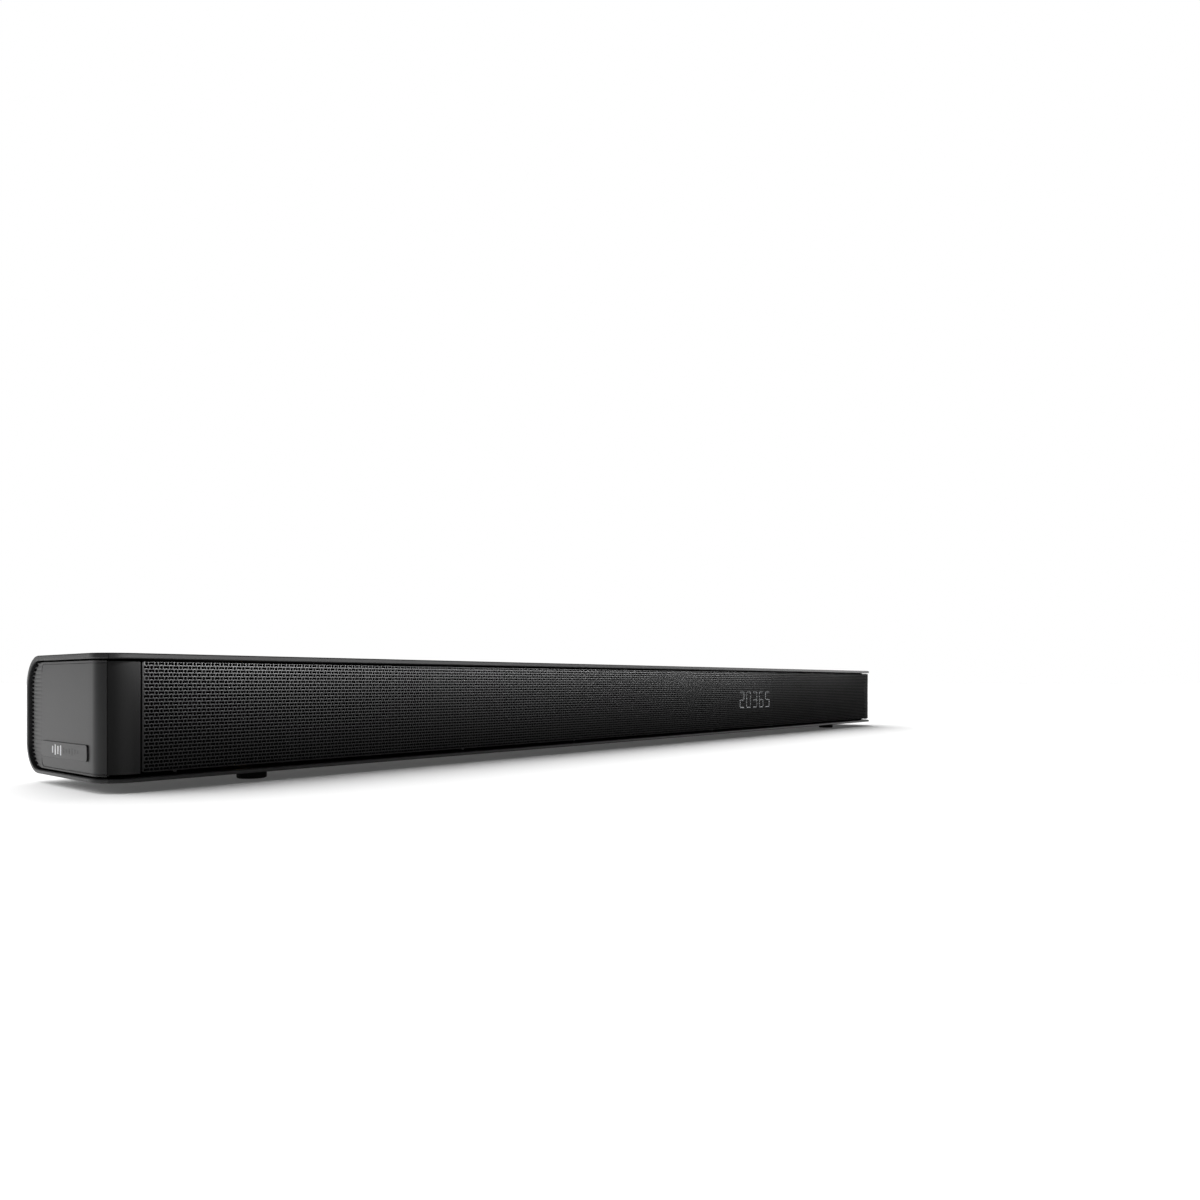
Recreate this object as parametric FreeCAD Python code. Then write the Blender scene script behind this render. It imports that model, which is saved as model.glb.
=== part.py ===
import FreeCAD, Part
import os

from FreeCAD import Placement, Rotation, Vector

# A soundbar: a long, low loudspeaker that lies along X. Its grille faces -Y and its feet
# stand on z = 0. The origin is the centre of its footprint. All sizes are in millimetres.

# Overall size
length = 900.0
depth = 102.0
foot_height = 5.0
shell_height = 63.0

# Outer shell, a C-shaped section that is open at the front
top_wall = 2.75
bottom_wall = 2.2
rear_wall = 2.95
rear_radius = 17.0
lip_radius = 15.4
rear_seam_height = 16.0
seam_gap = 0.3

# End caps: a rim, a web behind it and a panel set back inside the rim
cap_width = 4.7
cap_web = 1.2
panel_recess = 1.4
panel_radius = 14.0
panel_gap = 0.75
groove_inset = 1.0
groove_width = 0.4
groove_depth = 0.3
groove_rear_end = 30.0
tooth_pitch = 2.177
tooth_width = 0.9
tooth_length = 3.1
tooth_count = 26
flute_length = 14.0
flute_depth = 0.35
badge_length = 61.0
badge_tall = 8.25
badge_thickness = 0.7
badge_y = -0.5
badge_height = 13.9

# Front frame and grille, with heights above the bottom of the shell
front_low = 3.87
front_high = 59.1
stile_width = 13.6
stile_wall = 2.4
frame_flange = 2.0
frame_flange_setback = 2.4
sound_window_half = 424.0
sound_window_margin = 5.1
grille_half = 430.9
grille_low = 4.47
grille_sheet = 0.8
grille_return = 2.3
cloth_half = 426.0
cloth_margin = 2.0
cloth_thickness = 0.4
baffle_half = 428.0
baffle_thickness = 3.0
stack_gap = 0.1

# Loudspeaker drivers: an oval one for each front channel and two round ones that face up
front_driver_x = (-290.0, 0.0, 290.0)
front_driver_names = ("left", "centre", "right")
front_driver_straight = 33.0
front_driver_radius = 22.0
top_driver_x = 385.0
top_driver_y = 2.0
top_driver_radius = 29.0
driver_flange = 1.8
driver_rim = 2.5
basket_depth = 16.0
basket_wall = 1.5
motor_radius = 18.0
motor_depth = 14.0
coil_radius = 10.3
coil_wall = 0.7
coil_gap = 0.7
coil_length = 10.0
cone_drop = 11.4
cone_wall = 0.7
surround_clearance = 0.4
surround_width = 4.5
surround_land = 0.6
surround_sheet = 0.5
seat_drop = 0.6
dome_radius = 13.0
dome_edge_radius = 8.5

# Grilles over the upward-facing drivers
height_grille_width = 68.0
height_grille_tall = 62.0
height_grille_corner = 6.0
height_grille_wall = 1.5
fitting_gap = 0.3
flush_drop = 0.3

# Display behind the grille
display_x = 163.0
display_height = 31.6
display_width = 70.0
display_tall = 22.5
display_lens_thickness = 1.2
display_module_width = 61.0
display_module_tall = 17.0
display_module_behind = 4.0
display_board_width = 72.0
display_board_tall = 22.0
receiver_x = 112.0
receiver_size = 7.0

# Controls in the top plate
control_y = 10.0
control_straight = 42.0
control_radius = 8.0
button_names = ("power", "source", "volume_down", "volume_up")
button_pitch = 24.0
button_radius = 4.9
button_clearance = 0.3
button_drop = 0.1
button_cap_height = 1.9
button_stem_radius = 2.0
button_collar_radius = 6.3
bezel_flange = 1.4
key_board_half = 50.0
key_board_reach = 8.0

# Rear panel with two recesses
rear_panel_half = 149.8
rear_panel_low = 17.7
rear_panel_high = 45.3
rear_panel_gap = 0.2
rear_panel_lip = 3.0
rear_panel_lip_above = 2.0
recess_low = 20.0
recess_high = 43.0
recess_depth = 14.5
recess_wall = 1.6
signal_recess = (-85.0, 65.0)
power_recess = (92.0, 136.0)
inlet_x = 114.0
inlet_width = 26.0
inlet_tall = 16.0
pin_spacing = 8.6
pin_radius = 1.2
well_radius = 4.6
socket_length = 14.0
socket_gap = 0.2
cavity_depth = 10.0
jack_bore = 1.8
jack_depth = 12.0
optical_cavity = 8.0

# Circuit boards
board_thickness = 1.6
board_top = 33.0
low_board = 14.0
post_radius = 3.0
main_board_posts = [(x, y) for x in (-80.0, 60.0) for y in (2.0, 28.0)]
low_board_posts = [(x, y) for x in (160.0, 320.0) for y in (8.0, 30.0)]
low_board_posts += [(-185.0, 30.0), (-155.0, 30.0)]

# Fasteners and feet
foot_radius = 8.0
foot_chamfer = 0.8
foot_x = 363.0
foot_y = 29.0
screw_places = [(x, -37.5) for x in (-410.0, -215.0, -100.0, 100.0, 215.0, 410.0)]
screw_places += [(x, 29.0) for x in (-420.0, -140.0, 140.0, 420.0)]
boss_radius = 4.0
screw_radius = 1.5
screw_head_radius = 3.0
screw_head_height = 1.1
screw_length = 13.0
insert_x = 330.0
insert_radius = 3.5
insert_bore = 2.1
insert_length = 9.0
insert_boss_wall = 2.5
pilot_gap = 0.05

# Worked out from the sizes above
end_x = length / 2
front_y = -depth / 2
rear_y = depth / 2
shell_low = foot_height
shell_high = foot_height + shell_height
middle_z = shell_low + shell_height / 2
inner_low = shell_low + bottom_wall
inner_high = shell_high - top_wall
inner_rear = rear_y - rear_wall
inner_radius = rear_radius - rear_wall + seam_gap
seam_x = end_x - cap_width
panel_x = end_x - panel_recess
panel_front = front_y + panel_recess
frame_back = panel_front + frame_flange_setback + frame_flange
baffle_front = frame_back + stack_gap
baffle_back = baffle_front + baffle_thickness
recess_floor = rear_y - recess_depth
main_board_low = board_top - board_thickness
low_board_top = low_board + board_thickness
screw_head_low = shell_low + 0.1
screw_head_top = screw_head_low + screw_head_height
socket_seat = board_top + stack_gap


def box(x0, x1, y0, y1, z0, z1):
    return Part.makeBox(x1 - x0, y1 - y0, z1 - z0, Vector(x0, y0, z0))


def rod(radius, x, y, z0, z1):
    return Part.makeCylinder(radius, z1 - z0, Vector(x, y, z0))


def rod_along_y(radius, x, z, y0, y1):
    return Part.makeCylinder(radius, y1 - y0, Vector(x, y0, z), Vector(0, 1, 0))


def merge(shapes):
    return shapes[0].multiFuse(shapes[1:]).removeSplitter()


def quarter_arc(start, centre, end):
    # The middle of the arc lies on the line from the centre through the chord's middle.
    radius = (start - centre).Length
    towards = (start + end) * 0.5 - centre
    middle = centre + towards.normalize() * radius
    return Part.Arc(start, middle, end).toShape()


def section_prism(x0, x1, front, rear, low, high, radius):
    # A bar along X, square at the front and rounded along both rear edges.
    p = [Vector(x0, front, low), Vector(x0, rear - radius, low), Vector(x0, rear, low + radius)]
    p += [Vector(x0, rear, high - radius), Vector(x0, rear - radius, high), Vector(x0, front, high)]
    edges = [
        Part.makeLine(p[0], p[1]),
        quarter_arc(p[1], Vector(x0, rear - radius, low + radius), p[2]),
        Part.makeLine(p[2], p[3]),
        quarter_arc(p[3], Vector(x0, rear - radius, high - radius), p[4]),
        Part.makeLine(p[4], p[5]),
        Part.makeLine(p[5], p[0]),
    ]
    return Part.Face(Part.Wire(edges)).extrude(Vector(x1 - x0, 0, 0))


def plan_prism(half_length, front, rear, radius, low, high):
    # A slab along Z whose two front corners are rounded, seen from above.
    x = half_length
    p = [Vector(-x, rear, low), Vector(-x, front + radius, low), Vector(-x + radius, front, low)]
    p += [Vector(x - radius, front, low), Vector(x, front + radius, low), Vector(x, rear, low)]
    edges = [
        Part.makeLine(p[0], p[1]),
        quarter_arc(p[1], Vector(-x + radius, front + radius, low), p[2]),
        Part.makeLine(p[2], p[3]),
        quarter_arc(p[3], Vector(x - radius, front + radius, low), p[4]),
        Part.makeLine(p[4], p[5]),
        Part.makeLine(p[5], p[0]),
    ]
    return Part.Face(Part.Wire(edges)).extrude(Vector(0, 0, high - low))


def oval_wire(half_straight, radius, z):
    # Two half circles joined by straight runs along X, or a circle if there is no straight run.
    if half_straight == 0:
        return Part.Wire(Part.makeCircle(radius, Vector(0, 0, z)))
    a = half_straight
    right = Part.Arc(Vector(a, -radius, z), Vector(a + radius, 0, z), Vector(a, radius, z))
    left = Part.Arc(Vector(-a, radius, z), Vector(-a - radius, 0, z), Vector(-a, -radius, z))
    top = Part.makeLine(Vector(a, radius, z), Vector(-a, radius, z))
    bottom = Part.makeLine(Vector(-a, -radius, z), Vector(a, -radius, z))
    return Part.Wire([right.toShape(), top, left.toShape(), bottom])


def oval(half_straight, radius, z0, z1):
    return Part.Face(oval_wire(half_straight, radius, z0)).extrude(Vector(0, 0, z1 - z0))


def rounded_plate(width, tall, radius, z0, z1):
    # A flat plate about the Z axis with four rounded corners.
    x = width / 2 - radius
    y = tall / 2 - radius
    plate = Part.makeBox(2 * x, tall, z1 - z0, Vector(-x, -tall / 2, z0))
    cross = Part.makeBox(width, 2 * y, z1 - z0, Vector(-width / 2, -y, z0))
    corners = [rod(radius, i * x, j * y, z0, z1) for i in (-1, 1) for j in (-1, 1)]
    return merge([plate, cross] + corners)


def facing_front(shape, x, y, z):
    # Turns +Z to -Y, and +Y to +Z.
    shape.Placement = Placement(Vector(x, y, z), Rotation(Vector(1, 0, 0), 90))
    return shape


def facing_rear(shape, x, y, z):
    # Turns +Z to +Y, and +Y to -Z.
    shape.Placement = Placement(Vector(x, y, z), Rotation(Vector(1, 0, 0), -90))
    return shape


def facing_left(shape, x, y, z):
    # Turns +Z to -X, +X to -Y and +Y to +Z.
    turn = Rotation(Vector(0, 0, 1), -90).multiply(Rotation(Vector(1, 0, 0), 90))
    shape.Placement = Placement(Vector(x, y, z), turn)
    return shape


def moved(shape, x, y, z):
    shape.Placement = Placement(Vector(x, y, z), Rotation())
    return shape


def shell_ring(x0, x1):
    # The C-shaped wall between two places along X, with the lips' corners rounded in plan.
    outer = section_prism(x0, x1, front_y, rear_y, shell_low, shell_high, rear_radius)
    inner = section_prism(x0 - 1, x1 + 1, front_y - 1, inner_rear, inner_low, inner_high, inner_radius)
    lips = plan_prism(end_x, front_y, rear_y, lip_radius, shell_low, shell_high)
    return outer.cut(inner).common(lips)


def top_cover():
    half = seam_x - seam_gap / 2
    seam_z = shell_low + rear_seam_height
    wall = shell_ring(-half, half)
    wall = wall.common(box(-end_x, end_x, front_y, rear_y, seam_z, shell_high))
    add = [wall]
    cut = []
    for x, y in screw_places:
        add.append(rod(boss_radius, x, y, inner_low + seam_gap, inner_high + 1))
        cut.append(rod(screw_radius + pilot_gap, x, y, inner_low, inner_low + screw_length))
    for side in (-1, 1):
        x = side * insert_x
        boss = insert_radius + insert_boss_wall
        add.append(rod_along_y(boss, x, middle_z, rear_y - insert_length - 3, rear_y - 1))
        cut.append(rod_along_y(insert_radius + pilot_gap, x, middle_z, rear_y - insert_length - 1, rear_y + 1))
        hole = rounded_plate(height_grille_width + 2 * fitting_gap, height_grille_tall + 2 * fitting_gap,
                             height_grille_corner + fitting_gap, inner_high - 1, shell_high + 1)
        cut.append(moved(hole, side * top_driver_x, top_driver_y, 0))
    half = rear_panel_half + rear_panel_gap
    rear_hole = box(-half, half, inner_rear - 2, rear_y + 1, shell_low + rear_panel_low - rear_panel_gap,
                    shell_low + rear_panel_high + rear_panel_gap)
    control_hole = oval(control_straight, control_radius + fitting_gap / 2, inner_high - 1, shell_high + 1)
    cut += [rear_hole, moved(control_hole, 0, control_y, 0)]
    return merge(add).cut(cut)


def bottom_housing():
    half = seam_x - seam_gap / 2
    seam_z = shell_low + rear_seam_height - seam_gap
    wall = shell_ring(-half, half)
    wall = wall.common(box(-end_x, end_x, front_y, rear_y, shell_low, seam_z))
    add = [wall]
    for places, top in ((main_board_posts, main_board_low), (low_board_posts, low_board)):
        add += [rod(post_radius, x, y, shell_low + 1, top) for x, y in places]
    cut = []
    for x, y in screw_places:
        cut.append(rod(screw_radius + fitting_gap, x, y, shell_low - 1, inner_low + 1))
        cut.append(rod(screw_head_radius + fitting_gap, x, y, shell_low - 1, screw_head_top))
    return merge(add).cut(cut)


def end_cap_left():
    rim = shell_ring(-end_x, -seam_x)
    web_x = -seam_x - cap_web
    web = section_prism(web_x, -seam_x, front_y, rear_y, shell_low, shell_high, rear_radius)
    web = web.common(plan_prism(end_x, panel_front + 3, rear_y, panel_radius, shell_low, shell_high))
    low = inner_low + panel_gap
    high = inner_high - panel_gap
    rear = inner_rear - panel_gap
    radius = inner_radius - panel_gap
    root = section_prism(-panel_x, web_x, front_y, rear - tooth_length, low, high, radius)
    full = section_prism(-panel_x, web_x, front_y, rear, low, high, radius)
    first = middle_z - tooth_pitch * (tooth_count - 1) / 2
    rows = [first + tooth_pitch * i for i in range(tooth_count)]
    teeth = [box(-panel_x, web_x, rear - rear_radius, rear, z - tooth_width / 2, z + tooth_width / 2)
             for z in rows]
    comb = full.common(Part.makeCompound(teeth))
    panel = root.fuse(comb)
    outline = plan_prism(panel_x, panel_front, rear_y, panel_radius, shell_low, shell_high)
    panel = panel.common(outline)
    cut = []
    inside = plan_prism(panel_x - groove_depth, panel_front + groove_depth, rear_y,
                        panel_radius - groove_depth, shell_low, shell_high)
    skin = outline.cut(inside)
    for z in (low + groove_inset, high - groove_inset - groove_width):
        slot = box(-end_x, -seam_x, front_y, groove_rear_end, z, z + groove_width)
        cut.append(slot.common(skin))
    for z in rows[1:]:
        cut.append(flute(z - tooth_pitch / 2, rear - tooth_length))
    return merge([rim, web, panel]).cut(cut)


def flute(z, y_deep):
    # A shallow groove in the panel's face: deepest at the comb, and running out forwards.
    half = (tooth_pitch - tooth_width) / 2
    deep = -panel_x + flute_depth
    corners = [Vector(-panel_x - 1, y_deep + 1, z - half), Vector(deep, y_deep + 1, z - half)]
    corners += [Vector(deep, y_deep, z - half), Vector(-panel_x - 0.01, y_deep - flute_length, z - half)]
    corners += [Vector(-panel_x - 1, y_deep - flute_length, z - half)]
    wire = Part.makePolygon(corners + corners[:1])
    return Part.Face(wire).extrude(Vector(0, 0, 2 * half))


def badge_plate():
    plate = rounded_plate(badge_length, badge_tall, 1.5, 0, badge_thickness)
    return facing_left(plate, -panel_x, badge_y, shell_low + badge_height)


def front_frame():
    # Two stiles that carry the corners round to the grille, and a flange behind the grille.
    low = shell_low + front_low
    high = shell_low + front_high
    half = seam_x - seam_gap / 2
    outer = plan_prism(panel_x, panel_front, 0, panel_radius, low, high)
    inner = plan_prism(panel_x - stile_wall, panel_front + stile_wall, 1,
                       panel_radius - stile_wall, low - 1, high + 1)
    skin = outer.cut(inner)
    parts = []
    for side in (-1, 1):
        near, far = sorted((side * (seam_x - stile_width), side * half))
        parts.append(skin.common(box(near, far, front_y, panel_front + panel_radius, low, high)))
    flange = box(-half, half, frame_back - frame_flange, frame_back, low, high).common(outer)
    window = box(-sound_window_half, sound_window_half, front_y, 0,
                 low + sound_window_margin, high - sound_window_margin)
    return merge(parts + [flange.cut(window)])


def front_grille():
    # A folded steel tray. Its thousands of small holes are left out of this solid.
    low = shell_low + grille_low
    high = shell_low + front_high
    tray = box(-grille_half, grille_half, panel_front, panel_front + grille_return, low, high)
    t = grille_sheet
    hollow = box(-grille_half + t, grille_half - t, panel_front + t, 0, low + t, high - t)
    return tray.cut(hollow)


def acoustic_cloth():
    low = shell_low + grille_low + cloth_margin
    high = shell_low + front_high - cloth_margin
    y = panel_front + grille_sheet + stack_gap
    sheet = box(-cloth_half, cloth_half, y, y + cloth_thickness, low, high)
    half = display_width / 2 + 1
    tall = display_tall / 2 + 1
    z = shell_low + display_height
    return sheet.cut(box(display_x - half, display_x + half, y - 1, y + 2, z - tall, z + tall))


def baffle():
    low = shell_low + front_low + cloth_margin
    high = shell_low + front_high - cloth_margin
    plate = box(-baffle_half, baffle_half, baffle_front, baffle_back, low, high)
    cut = []
    for x in front_driver_x:
        radius = front_driver_radius - driver_rim + basket_wall + fitting_gap
        hole = oval(front_driver_straight, radius, -1, baffle_thickness + 1)
        cut.append(facing_rear(hole, x, baffle_front, middle_z))
    half = display_module_width / 2 + fitting_gap
    tall = display_module_tall / 2 + fitting_gap
    z = shell_low + display_height
    cut.append(box(display_x - half, display_x + half, baffle_front - 1, baffle_back + 1, z - tall, z + tall))
    return plate.cut(cut)


def surround_roll(half_straight, ring_radius):
    # A half tube that follows an oval and is open underneath.
    roll = surround_width / 2 - surround_land
    ring = Part.makeTorus(ring_radius, roll).cut(Part.makeTorus(ring_radius, roll - surround_sheet))
    reach = half_straight + 3 * ring_radius
    upper = box(-reach, reach, -reach, reach, 0, 2 * roll)
    if half_straight == 0:
        return ring.common(upper)
    pieces = []
    for side in (-1, 1):
        near, far = sorted((0, side * reach))
        half_ring = ring.common(box(near, far, -reach, reach, -reach, reach))
        pieces.append(moved(half_ring, side * half_straight, 0, 0))
        start = Vector(-half_straight, side * ring_radius, 0)
        tube = Part.makeCylinder(roll, 2 * half_straight, start, Vector(1, 0, 0))
        bore = Part.makeCylinder(roll - surround_sheet, 2 * half_straight, start, Vector(1, 0, 0))
        pieces.append(tube.cut(bore))
    return merge(pieces).common(upper)


def driver(half_straight, radius):
    # One loudspeaker that faces +Z. z = 0 is the plane that its mounting flange sits on.
    opening = radius - driver_rim
    outer = opening + basket_wall
    flange = oval(half_straight, radius, 0, driver_flange)
    tub = oval(half_straight, outer, -basket_depth, driver_flange / 2)
    inside = oval(half_straight, opening, -basket_depth + basket_wall, driver_flange + 1)
    tub = merge([flange, tub]).cut(inside)
    neck_hole = rod(coil_radius + 2 * coil_wall, 0, 0, -basket_depth - 1, 0)
    reach = half_straight + 2 * radius
    window_low = -basket_depth + basket_wall + 1
    windows = [box(-reach, reach, -outer / 2, outer / 2, window_low, -basket_wall * 2)]
    spacing = max(half_straight, outer * 0.55)
    for side in (-1, 0, 1):
        x = side * spacing
        windows.append(box(x - outer / 4, x + outer / 4, -reach, reach, window_low, -basket_wall * 2))
    basket = tub.cut([neck_hole] + windows)

    motor_top = -basket_depth
    motor = rod(motor_radius, 0, 0, motor_top - motor_depth, motor_top)
    gap = rod(coil_radius + coil_gap, 0, 0, motor_top - motor_depth + 2, motor_top + 1)
    gap = gap.cut(rod(coil_radius - coil_wall - coil_gap, 0, 0, motor_top - motor_depth, motor_top + 2))
    motor = motor.cut(gap)

    seat = -seat_drop
    rim = opening - surround_clearance - surround_width + surround_land
    neck_straight = min(half_straight, 1.0)
    neck = seat - cone_drop
    wires = [oval_wire(half_straight, rim, seat), oval_wire(neck_straight, coil_radius, neck)]
    solid = Part.makeLoft(wires, True, True)
    hollow = moved(Part.makeLoft(wires, True, True), 0, 0, cone_wall)
    funnel = solid.cut(hollow)
    coil = rod(coil_radius, 0, 0, neck - coil_length, neck + 0.2)
    coil = coil.cut(rod(coil_radius - coil_wall, 0, 0, neck - coil_length - 1, neck))
    dome_sink = (dome_radius ** 2 - dome_edge_radius ** 2) ** 0.5 - cone_wall / 2
    dome = Part.makeSphere(dome_radius, Vector(0, 0, neck - dome_sink))
    dome = dome.common(rod(dome_edge_radius, 0, 0, neck + cone_wall / 4, neck + dome_radius))
    cone = merge([funnel, coil, dome])

    outside = opening - surround_clearance
    lip = oval(half_straight, outside, seat, seat + surround_sheet)
    lip = lip.cut(oval(half_straight, outside - surround_width, seat - 1, seat + 2))
    ring_radius = outside - surround_width / 2
    roll = moved(surround_roll(half_straight, ring_radius), 0, 0, seat)
    half_channel = surround_width / 2 - surround_land - surround_sheet
    inner = ring_radius - half_channel
    outer_edge = ring_radius + half_channel
    channel = oval(half_straight, outer_edge, seat - 1, seat + 1)
    channel = channel.cut(oval(half_straight, inner, seat - 2, seat + 2))
    surround = merge([lip.cut(channel), roll])
    return {"basket": basket, "motor": motor, "cone": cone, "surround": surround}


def drivers():
    nodes = {}
    for name, x in zip(front_driver_names, front_driver_x):
        for piece, shape in driver(front_driver_straight, front_driver_radius).items():
            nodes[name + "_driver_" + piece] = facing_front(shape, x, baffle_front, middle_z)
    for name, side in (("left", -1), ("right", 1)):
        for piece, shape in driver(0, top_driver_radius).items():
            seat = inner_high - stack_gap - driver_flange
            nodes[name + "_height_driver_" + piece] = moved(shape, side * top_driver_x, top_driver_y, seat)
    return nodes


def height_grilles():
    nodes = {}
    for name, side in (("left", -1), ("right", 1)):
        w = height_grille_wall
        plate = rounded_plate(height_grille_width, height_grille_tall, height_grille_corner,
                              inner_high, shell_high - flush_drop)
        hollow = rounded_plate(height_grille_width - 2 * w, height_grille_tall - 2 * w,
                               height_grille_corner - w, inner_high - 1, shell_high - flush_drop - 1)
        grille = plate.cut(hollow)
        nodes[name + "_height_grille"] = moved(grille, side * top_driver_x, top_driver_y, 0)
    return nodes


def display():
    z = shell_low + display_height
    lens_back = panel_front + grille_sheet + cloth_thickness + 2 * stack_gap + display_lens_thickness
    lens = rounded_plate(display_width, display_tall, 1.5, 0, display_lens_thickness)
    module_back = baffle_back + display_module_behind
    half = display_module_width / 2
    tall = display_module_tall / 2
    module = box(display_x - half, display_x + half, lens_back + stack_gap, module_back, z - tall, z + tall)
    half = display_board_width / 2
    tall = display_board_tall / 2
    board = box(display_x - half, display_x + half, module_back, module_back + board_thickness,
                z - tall, z + tall)
    receiver = rounded_plate(receiver_size, receiver_size, 1.0, 0, 2.0)
    eye = Part.makeSphere(2.4, Vector(0, 0, 1.2)).common(rod(3, 0, 0, 0.5, 3.2))
    return {
        "display_lens": facing_front(lens, display_x, lens_back, z),
        "display_module": module,
        "display_board": board,
        "remote_receiver": facing_front(merge([receiver, eye]), receiver_x, baffle_front, z),
    }


def button_cap(top):
    cap = rod(button_radius, 0, 0, top - button_cap_height, top)
    upper_edge = [e for e in cap.Edges if e.BoundBox.ZMin > top - 0.01]
    return cap.makeFillet(0.4, upper_edge)


def controls():
    cap_top = shell_high - button_drop
    inside = inner_high - stack_gap
    bezel = merge([
        oval(control_straight, control_radius, inside - bezel_flange, shell_high - flush_drop),
        oval(control_straight, control_radius + 2, inside - bezel_flange, inside),
    ])
    places = [(i - 1.5) * button_pitch for i in range(len(button_names))]
    holes = [rod(button_radius + button_clearance, x, 0, inside - 5, shell_high) for x in places]
    nodes = {"control_bezel": moved(bezel.cut(holes), 0, control_y, 0)}
    collar_top = inside - bezel_flange - 0.4
    stem_low = collar_top - 1.3
    for name, x in zip(button_names, places):
        button = merge([
            button_cap(cap_top),
            rod(button_stem_radius, 0, 0, stem_low, cap_top - 1),
            rod(button_collar_radius, 0, 0, collar_top - 1, collar_top),
        ])
        nodes[name + "_button"] = moved(button, x, control_y, 0)
    board_high = stem_low - 1.0
    board = [box(-key_board_half, key_board_half, control_y - key_board_reach, control_y + key_board_reach,
                 board_high - board_thickness, board_high)]
    board += [rod(button_stem_radius, x, control_y, board_high - 0.5, board_high + 0.3) for x in places]
    nodes["button_board"] = merge(board)
    return nodes


def rear_panel():
    low = shell_low + rear_panel_low
    high = shell_low + rear_panel_high
    half = rear_panel_half
    add = [box(-half, half, inner_rear - 0.6, rear_y, low, high)]
    lip = half + rear_panel_lip
    add.append(box(-lip, lip, inner_rear - recess_wall, inner_rear - stack_gap,
                   low - rear_panel_lip_above, high + rear_panel_lip_above))
    cut = []
    for x0, x1 in (signal_recess, power_recess):
        z0 = shell_low + recess_low
        z1 = shell_low + recess_high
        w = recess_wall
        add.append(box(x0 - w, x1 + w, recess_floor - w, inner_rear, z0 - w, z1 + w))
        cut.append(box(x0, x1, recess_floor, rear_y + 1, z0, z1))
    panel = merge(add).cut(cut)
    g = socket_gap
    noses = [box(x - w / 2 - g, x + w / 2 + g, recess_floor - 3, recess_floor + 1, socket_seat - g,
                 socket_seat + t + g) for x, w, t in socket_outlines()]
    inlet = rounded_plate(inlet_width + 2 * g, inlet_tall + 2 * g, 1.0 + g, -3, 1)
    noses.append(facing_rear(inlet, inlet_x, recess_floor, middle_z))
    return panel.cut(noses)


def socket_outlines():
    # Place along X, width and height of each socket that stands on the main board.
    return [
        (28.0, 15.2, 6.2),
        (0.0, 15.2, 6.2),
        (-28.0, 14.4, 7.2),
        (-50.0, 9.0, 9.0),
        (-72.0, 10.0, 10.0),
    ]


def socket_block(x, width, tall):
    y0 = recess_floor - socket_length
    return box(x - width / 2, x + width / 2, y0, recess_floor, socket_seat, socket_seat + tall)


def tongue_socket(outline, cavity_width, cavity_tall, tongue_width, tongue_thickness, tongue_lift):
    x, width, tall = outline
    middle = socket_seat + tall / 2
    y0 = recess_floor - cavity_depth
    cavity = box(x - cavity_width / 2, x + cavity_width / 2, y0, recess_floor + 1,
                 middle - cavity_tall / 2, middle + cavity_tall / 2)
    z = middle + tongue_lift
    tongue = box(x - tongue_width / 2, x + tongue_width / 2, y0 - 1, recess_floor - 1.5,
                 z - tongue_thickness / 2, z + tongue_thickness / 2)
    return merge([socket_block(x, width, tall).cut(cavity), tongue])


def signal_sockets():
    outlines = socket_outlines()
    nodes = {}
    for name, outline in zip(("hdmi_output_socket", "hdmi_input_socket"), outlines):
        nodes[name] = tongue_socket(outline, 14.0, 4.6, 10.5, 1.0, 0.0)
    nodes["usb_socket"] = tongue_socket(outlines[2], 12.5, 5.2, 11.3, 1.9, 1.1)
    x, width, tall = outlines[3]
    bore = rod_along_y(jack_bore, x, socket_seat + tall / 2, recess_floor - jack_depth, recess_floor + 1)
    nodes["aux_jack"] = socket_block(x, width, tall).cut(bore)
    x, width, tall = outlines[4]
    middle = socket_seat + tall / 2
    half = optical_cavity / 2
    back = recess_floor - cavity_depth + 1
    cavity = box(x - half, x + half, back, recess_floor + 1, middle - half, middle + half)
    lens = rod_along_y(1.6, x, middle, back - 1, back + 2)
    nodes["optical_socket"] = merge([socket_block(x, width, tall).cut(cavity), lens])
    return nodes


def power_inlet():
    # A two-pin inlet: an oval well with two round pins.
    block = rounded_plate(inlet_width, inlet_tall, 1.0, -socket_length, 0)
    well = oval(pin_spacing / 2, well_radius, -cavity_depth - 1, 1)
    pins = [rod(pin_radius, side * pin_spacing / 2, 0, -cavity_depth - 2, -2) for side in (-1, 1)]
    return facing_rear(merge([block.cut(well)] + pins), inlet_x, recess_floor, middle_z)


def main_board():
    return box(-90, 70, -8, recess_floor - recess_wall - socket_gap, main_board_low, board_top)


def heat_sink():
    # A finned aluminium extrusion on the main board.
    base = box(-25, 35, -4, 13.4, board_top, board_top + 3)
    fin_pitch = 3.2
    fins = []
    for i in range(6):
        y = -4 + fin_pitch * i
        fins.append(box(-25, 35, y, y + 1.4, board_top + 2, board_top + 15))
    return merge([base] + fins)


def power_supply():
    # The mains board with its transformer and three reservoir capacitors.
    top = low_board_top
    core = box(195, 229, 4, 30, top, top + 24)
    winding = box(189, 235, 8, 26, top, top + 18)
    cans = [rod(8, x, y, top, top + 26) for x, y in ((258, 10), (258, 28), (280, 18))]
    return {
        "power_board": box(150, 330, -5, 34, low_board, top),
        "mains_transformer": merge([core, winding]),
        "supply_capacitors": Part.makeCompound(cans),
    }


def wireless_module():
    top = low_board_top
    board = box(-192, -148, 18, 44, low_board, top)
    can = rounded_plate(30.0, 20.0, 1.0, top - 0.5, top + 2.4)
    return merge([board, moved(can, -168, 31, 0)])


def speaker_cables():
    # Flat cables that lie on the floor of the housing.
    low = inner_low + stack_gap
    runs = [box(x0, x1, -3, 3, low, low + 2) for x0, x1 in ((-360, -95), (85, 360))]
    return Part.makeCompound(runs)


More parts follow.
